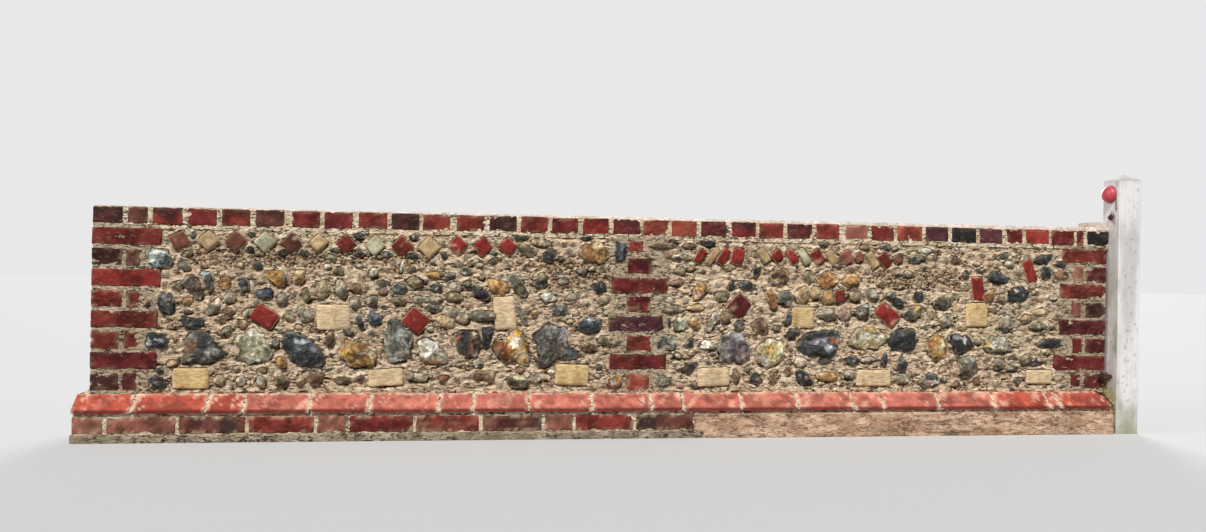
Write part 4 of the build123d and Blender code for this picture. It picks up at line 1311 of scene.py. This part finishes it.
quoin_batches = {"left_quoin": Batch(), "middle_pier": Batch(), "right_quoin": Batch()}
HEADER = ((-FACE, FACE),)
STRETCHERS = ((-FACE, -FACE + BRICK_WIDTH), (FACE - BRICK_WIDTH, FACE))
for index, (start, end, course, colour, soot, smear) in enumerate(QUOIN_BRICKS):
    node = "left_quoin" if end < 300 else "right_quoin" if start > 3700 else "middle_pier"
    bottom = course_bottom(course) + 1.5 * math.sin(index * 2.3)
    # Painted shade: the left quoin's bricks are darkened more than those of the pier and the right quoin.
    paint = BRICK_TONES[colour] * (0.72 if node == "left_quoin" else 0.86)
    for part, (front, back) in enumerate(HEADER if course % 2 else STRETCHERS):
        low = (max(along(start), LEFT + 0.5), front + 0.6, bottom)
        high = (min(along(end), RIGHT - 0.5), back - 0.6, bottom + BRICK_HEIGHT)
        brick(quoin_batches[node], low, high, paint, 100 + index * 3 + part, 8, soot, smear)
start, end, bottom, top = PIER_TOP_BRICK
low, high = (along(start), -FACE + 0.6, bottom), (along(end), FACE - 0.6, top)
brick(quoin_batches["middle_pier"], low, high, BRICK_TONES["bright"], 91, 8, 0.0, 0.3)
for node, batch in quoin_batches.items():
    batch.make(node + "_bricks", brick_material, "brick", (node,))

# Coping, and the mortar under it and between its bricks

batch = Batch()
for index, (start, end, colour, soot, smear) in enumerate(COPING_BRICKS):
    jog = 1.6 * math.sin(index * 1.7)
    low = (max(along(start), LEFT + 1), -FACE + 1.0, COPING_BOTTOM + 2 + jog)
    high = (min(along(end), POST_LEFT - 1), FACE - 1.0, COPING_TOP + min(0, jog))
    brick(batch, low, high, BRICK_TONES[colour] * 1.05, 300 + index * 3, 10.5, soot, smear)
batch.make("coping_bricks", brick_material, "brick", ("coping_course",))
coping_face = FACE - 3
corners = upright(coping_face, COURSES_TOP - 2, COPING_TOP - 1)
ends = LEFT + 4, POST_LEFT - 0.5
run("coping_mortar", ("coping_bed_joint",), corners, (60, 12, 40, 9), *ends, 8, paint_joint, 2.4, 5)

# The skim on the coping is thicker towards the post, with a flat top and steep edges
CAPPING_THIN = 4
CAPPING_THICK = 17
CAPPING_EDGE = 7


def skim_clip(rings):
    """Gives the skim, drawn 1 mm thick, its thickness at each place along the wall."""
    share = (rings[..., 0] - LEFT) / (POST_LEFT - LEFT)
    thick = CAPPING_THIN + (CAPPING_THICK - CAPPING_THIN) * share
    thick = thick * (0.92 + 0.16 * fractal(rings, (90, 60, 60), 77)) - 0.5
    above = np.maximum(rings[..., 2] - COPING_TOP, 0)
    rings[..., 2] = np.where(above > 0, COPING_TOP + above * thick, rings[..., 2])
    rings[..., 1] -= np.sign(rings[..., 1]) * 1.5 * smooth(-0.2, 0.6, fractal(rings, (24, 30, 30), 78))


skim_side, skim_top = SKIM_FACE - 0.5, SKIM_FACE - CAPPING_EDGE
corners = [
    (-skim_side, COPING_TOP - 2), (skim_side, COPING_TOP - 2), (skim_side, COPING_TOP + 0.1),
    (skim_top, COPING_TOP + 1), (-skim_top, COPING_TOP + 1), (-skim_side, COPING_TOP + 0.1),
]
ends = LEFT + 3, POST_LEFT - 0.5
run(
    "capping_skim", ("mortar_capping",), corners, (60, 3, 4, 14, 4, 3), *ends, 9, paint_skim, 0.6, 6,
    skim_clip, lime_material, 50,
)

# The block of mortar with a nib that fills the corner between the skim and the post
shelf_top = NIB_TOP - 10
nib_right = FILLET_LEFT + 24
profile = [
    (FILLET_LEFT + 0.8, COPING_TOP + 3), (FILLET_RIGHT - 0.8, COPING_TOP + 3),
    (FILLET_RIGHT - 0.8, shelf_top - 0.5), (nib_right + 4, shelf_top - 0.5),
    (nib_right - 1, NIB_TOP - 0.8), (FILLET_LEFT + 2, NIB_TOP - 0.8),
]
batch = Batch()
bar_across(batch, walk(profile, 4), FILLET_FRONT + 0.5, FILLET_BACK - 0.5, 5, paint_skim, 1.0, 83)
batch.make("fillet_block", lime_material, "mortar", ("post_fillet",), 50)

# Plinth

HIP = 54


def plinth_section(drop, steps, side):
    """The bevelled section, drawn in by drop."""
    inner = -PLINTH_FACE + BRICK_WIDTH
    corners = [
        (-PLINTH_FACE + drop, PLINTH_BOTTOM + drop),
        (inner, PLINTH_BOTTOM + drop),
        (inner, PLINTH_TOP - drop),
        (-FACE - 1 + drop, PLINTH_TOP - drop),
        (-PLINTH_FACE + drop, PLINTH_BOTTOM + NOSE_HEIGHT - 0.5 * drop),
    ]
    section = walk(corners, steps)
    return section if side < 0 else (section * np.array([-1, 1]))[::-1]


def hip(rings):
    """Rounds the last plinth brick off towards its end."""
    above = (rings[..., 2] - PLINTH_BOTTOM - NOSE_HEIGHT) / (PLINTH_TOP - PLINTH_BOTTOM - NOSE_HEIGHT)
    limit = PLINTH_RIGHT - HIP * (1 - np.sqrt(1 - np.clip(above, 0, 1) ** 2))
    rings[..., 0] = np.minimum(rings[..., 0], limit)


def paint_plinth(base, seed, shifted, rings):
    """Patchy brick with pale smears across it, painted shade on the nose and the foot of the bevel, and
    mortar at the joints.
    """
    grain = grains(shifted, seed)
    shades = mix(base * 0.64, base * 1.02, smooth(-0.3, 0.3, grain(46, 0, 4)))
    shades = shades * (1 + 0.4 * grain(14, 1))[..., None]
    slant = shifted[..., 0] + 1.4 * shifted[..., 2]
    across = np.stack([slant * 0.35, shifted[..., 1], shifted[..., 0] - shifted[..., 2]], -1)
    from_joint = np.minimum(rings[..., 0] - rings[0, 0, 0], rings[-1, 0, 0] - rings[..., 0])
    pale = smooth(0.14, 0.24, fractal(across, (60, 40, 22), seed + 3, 4))
    pale = pale * (1 - 0.75 * smooth(10, 90, from_joint))
    # Painted shade on the upright nose and on the foot of the bevel just above it.
    nose = smooth(PLINTH_BOTTOM + NOSE_HEIGHT + 6, PLINTH_BOTTOM + NOSE_HEIGHT + 2, rings[..., 2])
    feather = np.maximum(1 - smooth(0, 9, from_joint), smooth(PLINTH_TOP - 9, PLINTH_TOP - 1, rings[..., 2]))
    return layered(
        shades,
        (tone(120, 62, 52), 0.6 * smooth(0.2, 0.34, grain((40, 20, 14), 9))),
        (tone(232, 186, 158), 0.72 * pale),
        (tone(100, 36, 34), 0.85 * nose),
        (MORTAR_PALE, 0.7 * feather * smooth(-0.25, 0.35, grain(14, 5))),
    )


for side, node in ((-1, "plinth_front"), (1, "plinth_back")):
    batch = Batch()
    last = len(PLINTH_COLOURS) - 1
    for index, (start, end) in enumerate(zip(PLINTH_JOINTS, PLINTH_JOINTS[1:])):
        low = PLINTH_LEFT + 0.5 if index == 0 else along(start) + 4
        high = PLINTH_RIGHT - 0.5 if index == last else along(end) - 4
        section = plinth_section(0.8, (30, 20, 14, 10, 4), side)
        section[:, 1] += 0.8 * math.sin(index * 2.1) - 0.8
        paint = partial(paint_plinth, BRICK_TONES[PLINTH_COLOURS[index]], 40 + index)
        bar(batch, section, low, high, 10, paint, 0.7, 400 + index, hip if index == last else None)
    batch.make(node + "_bricks", brick_material, "plinth_brick", (node,))
    section = plinth_section(3.6, (60, 60, 20, 12, 6), side)
    ends = PLINTH_LEFT + 5, PLINTH_RIGHT - 8
    run(node + "_joints", (), section, None, *ends, 16, paint_mortar(61), 0.8, 61, hip)

corners = upright(PLINTH_FACE - BRICK_WIDTH, BASE_TOP, PLINTH_TOP)
ends = PLINTH_LEFT + 6, RIGHT - 0.5
run("plinth_core", ("plinth_hearting",), corners, 18, *ends, 60, paint_mortar(63), 0.8, 63)

# Base course, its joints, and the footing

batch = Batch()
rows_of_base = ((-BASE_FACE, -BASE_FACE + BRICK_WIDTH), (BASE_FACE - BRICK_WIDTH, BASE_FACE))
for index, (start, end) in enumerate(zip(BASE_JOINTS, BASE_JOINTS[1:])):
    low_x = PLINTH_LEFT + 1 if index == 0 else along(start) + 5
    high_x = RIGHT - 0.5 if index == len(BASE_COLOURS) - 1 else along(end) - 5
    burnt = BURNT_PATCHES.get(index)
    burnt = (along(burnt[0] + 25), burnt[1]) if burnt else None
    for part, (front, back) in enumerate(rows_of_base):
        low, high = (low_x, front + 1, BASE_BOTTOM + 1), (high_x, back - 1, BASE_TOP - 1)
        colour = BRICK_TONES[BASE_COLOURS[index]] * 1.15
        brick(batch, low, high, colour, 500 + 2 * index + part, 12, 0.0, 0.6, 0.8, burnt)
batch.make("base_bricks", brick_material, "base_brick")
corners = upright(BASE_FACE - 3.5, BASE_BOTTOM - 2, PLINTH_BOTTOM + 2)
nodes = ("base_course", "plinth_bed_joint", "wall_bed_joint")
ends = PLINTH_LEFT + 4, RIGHT - 1
run("base_joints", nodes, corners, (110, 10, 110, 10), *ends, 10, paint_mortar(71), 1.6, 71)

corners = [
    (-FOOTING_FACE + 1, 0.5), (FOOTING_FACE - 1, 0.5), (FOOTING_FACE - 1, BASE_BOTTOM - 3),
    (FOOTING_FACE - 5, BASE_BOTTOM), (-FOOTING_FACE + 5, BASE_BOTTOM), (-FOOTING_FACE + 1, BASE_BOTTOM - 3),
]
paint = paint_mortar(81, tone(168, 152, 128), tone(190, 174, 150), 0.7)
ends = FOOTING_LEFT + 1, RIGHT - 1
run("footing", ("footing_strip",), corners, (110, 10, 5, 110, 5, 10), *ends, 14, paint, 1.0, 81)


def haunch_edge(rings):
    """Feathers the haunching out at its left end, and roughens its slope."""
    fade = smooth(0, 90, rings[..., 0] - HAUNCH_LEFT + 14 * fractal(rings, (30, 30, 20), 88, 2))
    wall = -FOOTING_FACE + 4
    trowel = -4 * (0.5 + fractal(rings, (90, 60, 22), 89, 4)) * smooth(BASE_TOP, BASE_TOP - 30, rings[..., 2])
    front = np.minimum(rings[..., 1] - trowel * 0.6, wall + 3)
    rings[..., 1] = np.where(rings[..., 1] < wall, wall + (front - wall) * fade, rings[..., 1])


corners = [
    (-BASE_FACE + 8, 0.5), (-BASE_FACE + 8, BASE_TOP + 2), (-BASE_FACE - 4, BASE_TOP - 2),
    (HAUNCH_FRONT + 1, 3), (HAUNCH_FRONT + 1.5, 0.5),
]
section = walk(corners, (30, 6, 6, 3, 10))[::-1]
ends = HAUNCH_LEFT, RIGHT - 0.5
run(
    "haunching", ("foot_haunching",), section, None, *ends, 8, paint_haunch, 2.0, 91, haunch_edge,
    haunch_material,
)

# Flaunching on the plinth's left end, and packing against the post

profile = [
    (PLINTH_LEFT + 8, PLINTH_TOP - 3), (LEFT + 4, PLINTH_TOP - 3), (LEFT + 4, PLINTH_TOP + 17),
    (PLINTH_LEFT + 8, PLINTH_TOP),
]
batch = Batch()
bar_across(batch, walk(profile, 6), -coping_face, coping_face, 8, paint_mortar(95), 1.6, 95)
batch.make("flaunching", mortar_material, "mortar", ("end_flaunching",), 60)

corners = [
    (-BASE_FACE, 0.5), (-FACE + 60, 0.5), (-FACE + 60, PACKING_TOP - 6), (-FACE + 8, PACKING_TOP),
    (-FACE - 4, PLINTH_TOP), (-BASE_FACE, PLINTH_BOTTOM + 20),
]
paint = paint_mortar(97, tone(150, 128, 92), tone(174, 150, 112), 0.3)
ends = RIGHT - 6, POST_LEFT - 0.3
run("packing", ("post_packing",), corners, 8, *ends, 4, paint, 1.2, 97)

# Flint bays: name, ends of the stonework, drawn and listed stones, and ends of the mortar

BAYS = (
    ("left", 165, 1947, LEFT_DRAWN, LEFT_LISTED, LEFT + 4, MIDDLE),
    ("right", 2053, 3835, RIGHT_DRAWN, RIGHT_LISTED, MIDDLE, RIGHT - 4),
)
for number, (name, low, high, drawn_text, texts, body_low, body_high) in enumerate(BAYS):
    stones = bay_stones(low, high, drawn_text, texts, 11 + 20 * number)
    for side, face_name in ((-1, "front"), (1, "back")):
        batches = {kind: Batch() for kind in ("flint", "pebble", "block", "bat")}
        lay_stones(batches, stones, side)
        node = f"{name}_panel_{face_name}"
        batches["flint"].make(node + "_flints", flint_material, "flintwork", (node,), 17)
        batches["pebble"].make(node + "_pebbles", flint_material, "flintwork", (), 60)
        batches["block"].make(node + "_blocks", limestone_material, "flintwork", (), 50)
        batches["bat"].make(node + "_brickbats", brick_material, "brick", (), 50)
        mortar_body(node + "_mortar", body_low, body_high, side, stones, 51 + 20 * number)

# Post


def post_rings(half):
    """The post from its foot to its shallow pyramid top, worn and gouged, round a middle of 0, 0."""
    levels = spaced(0.5, POST_SHOULDER, 9)
    hips = np.linspace(0, 1, 9)[1:-1]
    shrinks = np.concatenate([np.ones(len(levels)), 1 - hips])[:, None, None]
    levels = np.concatenate([levels, POST_SHOULDER + hips * (POST_TOP - POST_SHOULDER)])
    rings = loft(walk(chamfered((-half, -half), (half, half)), (5, 4, 8, 4, 8, 4, 5, 4)), levels)
    rings[..., :2] = rings[..., :2] * shrinks * 0.992
    warp = np.stack([fractal(rings, (30, 30, 160), 701 + axis) for axis in range(2)], -1)
    rings[..., :2] += 0.4 * warp * shrinks
    outermost = np.abs(rings[..., :2]) > half - 4
    gouge = smooth(0.45, 0.7, fractal(rings, (22, 22, 30), 711, 2)) * (rings[..., 2] < POST_SHOULDER - 12)
    rings[..., :2] -= np.sign(rings[..., :2]) * (1.3 * gouge)[..., None] * outermost
    return rings


def paint_post(rings, wall_side):
    """Off-white paint, dirtier and greener towards the foot and beside the wall, greyer on the cap as painted
    shade, with a painted shade line at the eave.
    """
    height = rings[..., 2]
    grime = smooth(0.1, 0.6, fractal(rings, (40, 40, 120), 731)) * smooth(1000, 600, height)
    green = smooth(-0.5, 0.3, fractal(rings, (50, 50, 150), 741)) * smooth(840, 300, height)
    split = smooth(0.36, 0.5, fractal(rings, (14, 14, 18), 761, 2)) * smooth(1000, 300, height)
    return layered(
        tone(202, 197, 193),
        (tone(228, 224, 222), smooth(-0.3, 0.3, fractal(rings, (60, 60, 200), 721))),
        # Painted shade: the cap is greyer than the shaft, to hold back the light on its top, with a dark line
        # along the eave.
        (tone(186, 184, 178), smooth(POST_SHOULDER - 2, POST_SHOULDER + 2, height)),
        (tone(120, 118, 108), 0.5 * np.exp(-(((height - POST_SHOULDER) / 3) ** 2))),
        (tone(160, 158, 146), 0.45 * grime),
        (tone(150, 150, 104), 0.8 * wall_side * green),
        (tone(128, 134, 88), 0.6 * smooth(200, 10, height + 70 * fractal(rings, 50, 751))),
        (tone(120, 114, 104), 0.4 * split),
    )


half = (POST_RIGHT - POST_LEFT) / 2
post_x, post_y = (POST_LEFT + POST_RIGHT) / 2, (POST_FRONT + POST_BACK) / 2
rings = post_rings(half)
wall_side = smooth(-half + 4, -half, rings[..., 0])
paint = paint_post(rings, wall_side)
rings += (post_x, post_y, 0)
ragged = 0.5 * fractal(rings, 7, 771, 2)
street_side = rings[..., 1] < POST_FRONT + 4
for across, up, wide, tall in FRONT_MARKS:
    away = np.hypot((rings[..., 0] - across) / (wide + 2), (rings[..., 2] - up) / (tall * 0.6 + 2)) + ragged
    paint = mix(paint, tone(120, 114, 104), 0.5 * smooth(1.1, 0.6, away) * street_side)
for across, up, wide, tall, colour in POST_STAINS:
    away = np.hypot((rings[..., 1] - across) / wide, (rings[..., 2] - up) / tall) + ragged
    paint = mix(paint, colour, 0.85 * smooth(1.2, 0.5, away) * wall_side)
batch = Batch()
batch.tube(rings, (post_x, post_y, 0.5), (post_x, post_y, POST_TOP - 0.3), paint, 0.4)
batch.make("post", timber_material, "painted_timber", ("end_post",), 25)

# Reflector and bolts


def round_piece(name, node, profile, colour, material):
    """A turned piece on the post's left face: profile is pairs of distance from the face and radius."""
    low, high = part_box(node)
    y, z = (low.y + high.y) / 2 / MM, (low.z + high.z) / 2 / MM
    way = circle(48)[1]
    rings = np.empty((len(profile), len(way), 3))
    for ring, (out, radius) in zip(rings, profile):
        ring[:, 0] = POST_LEFT - out
        ring[:, 1:] = (y, z) + radius * way[:, :2]
    batch = Batch()
    batch.tube(rings, *[(POST_LEFT - profile[end][0], y, z) for end in (0, -1)], colour, 0.6)
    batch.make(name, material, node, (node,), 50)


(rim_left, _), _, (rim_bottom, rim_top) = sides("reflector_rim")
(lens_left, _), _, (lens_bottom, lens_top) = sides("reflector_lens")
rim_out, rim_radius = POST_LEFT - rim_left, (rim_top - rim_bottom) / 2
lens_out, lens_radius = POST_LEFT - lens_left, (lens_top - lens_bottom) / 2
swing = [math.radians(90 - 5.5 * step) for step in range(17)]
bulge = lens_out - rim_out - 0.3
profile = [(rim_out + bulge * math.cos(turn), lens_radius * math.sin(turn)) for turn in swing]
profile = [(rim_out - 1, lens_radius - 0.1), *profile]
round_piece("reflector_dome", "reflector_lens", profile, RED_LENS, reflector_material)
profile = [
    (0.2, rim_radius - 0.4), (rim_out - 1.8, rim_radius - 0.2), (rim_out - 0.6, rim_radius - 0.8),
    (rim_out, rim_radius - 2), (rim_out, lens_radius - 1),
]
round_piece("reflector_ring", "reflector_rim", profile, RED_LENS * 0.5, rim_material)
for node in ("upper_bolt", "lower_bolt"):
    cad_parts[node].data.materials.clear()
    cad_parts[node].data.materials.append(rust_material)

# Floor, light and camera

SPAN = 30.0
floor_mesh = bpy.data.meshes.new("floor")
floor_corners = [(-SPAN, -SPAN, 0), (SPAN, -SPAN, 0), (SPAN, SPAN, 0), (-SPAN, SPAN, 0)]
floor_mesh.from_pydata(floor_corners, [], [(0, 1, 2, 3)])
floor = bpy.data.objects.new("floor", floor_mesh)
bpy.context.scene.collection.objects.link(floor)
floor_surface = Surface("floor", 0.9, 0.5, (0.25, 0.25, 0.25))
floor_surface.cover(floor_surface.seen(), (0.56, 0.56, 0.555))
floor_mesh.materials.append(floor_surface.done())
floor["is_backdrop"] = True

world = bpy.data.worlds.new("studio")
bpy.context.scene.world = world
studio = Nodes(world)
soft = studio.nodes["Background"]
studio.put(soft.inputs["Color"], (0.95, 0.97, 1.0))
studio.put(soft.inputs["Strength"], 0.25)
backdrop = studio.add("ShaderNodeBackground", {"Color": (0.81, 0.81, 0.81)})[0]
chooser = studio.add("ShaderNodeMixShader", {0: studio.seen(), 1: soft.outputs[0], 2: backdrop})[0]
studio.put(studio.nodes["World Output"].inputs["Surface"], chooser)


def sun(name, way, power, spread):
    """Broad light from the direction of way, as from a bright part of an overcast sky."""
    data = bpy.data.lights.new(name, "SUN")
    data.energy = power
    data.angle = math.radians(spread)
    light = bpy.data.objects.new(name, data)
    light.rotation_euler = Vector(way).to_track_quat("Z", "Y").to_euler()
    bpy.context.scene.collection.objects.link(light)


sun("key", (-0.32, -0.9, 1.02), 3.5, 12)
sun("side", (-1.0, -0.25, 0.3), 0.9, 40)
sun("rear", (0.3, 1.0, 0.35), 2.0, 30)

# The camera, solved from the photo's corners
CAMERA_PLACE = (-0.6332, -3.529, 0.6526)
YAW, PITCH, ROLL = math.radians(-8.102), math.radians(-0.131), math.radians(1.004)
FOCAL_PIXELS = 890
PHOTO_WIDTH = 1206
SENSOR = 36.0



def turned(angle, first, second):
    """A turn by angle that takes the first axis towards the second."""
    turn = np.eye(3)
    turn[first, first] = turn[second, second] = math.cos(angle)
    turn[second, first] = math.sin(angle)
    turn[first, second] = -math.sin(angle)
    return turn


turn_up = np.array([[1, 0, 0], [0, 0, -1], [0, 1, 0]])
to_camera = turned(ROLL, X, Y) @ turned(PITCH, Y, Z) @ turned(YAW, Z, X) @ turn_up
facing = to_camera.T @ np.diag([1, -1, -1])
camera_data = bpy.data.cameras.new("camera")
camera_data.sensor_fit = "HORIZONTAL"
camera_data.sensor_width = SENSOR
camera_data.lens = FOCAL_PIXELS / PHOTO_WIDTH * SENSOR
camera = bpy.data.objects.new("camera", camera_data)
camera.matrix_world = Matrix.Translation(CAMERA_PLACE) @ Matrix(facing.tolist()).to_4x4()
bpy.context.scene.collection.objects.link(camera)
bpy.context.scene.camera = camera
bpy.context.scene.view_settings.view_transform = "Standard"

total = 0
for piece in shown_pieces():
    triangles = sum(len(face.vertices) - 2 for face in piece.data.polygons)
    total += triangles
    print("triangles", piece.name, triangles)
print("triangles in all", total)
bpy.context.view_layer.update()
low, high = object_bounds()
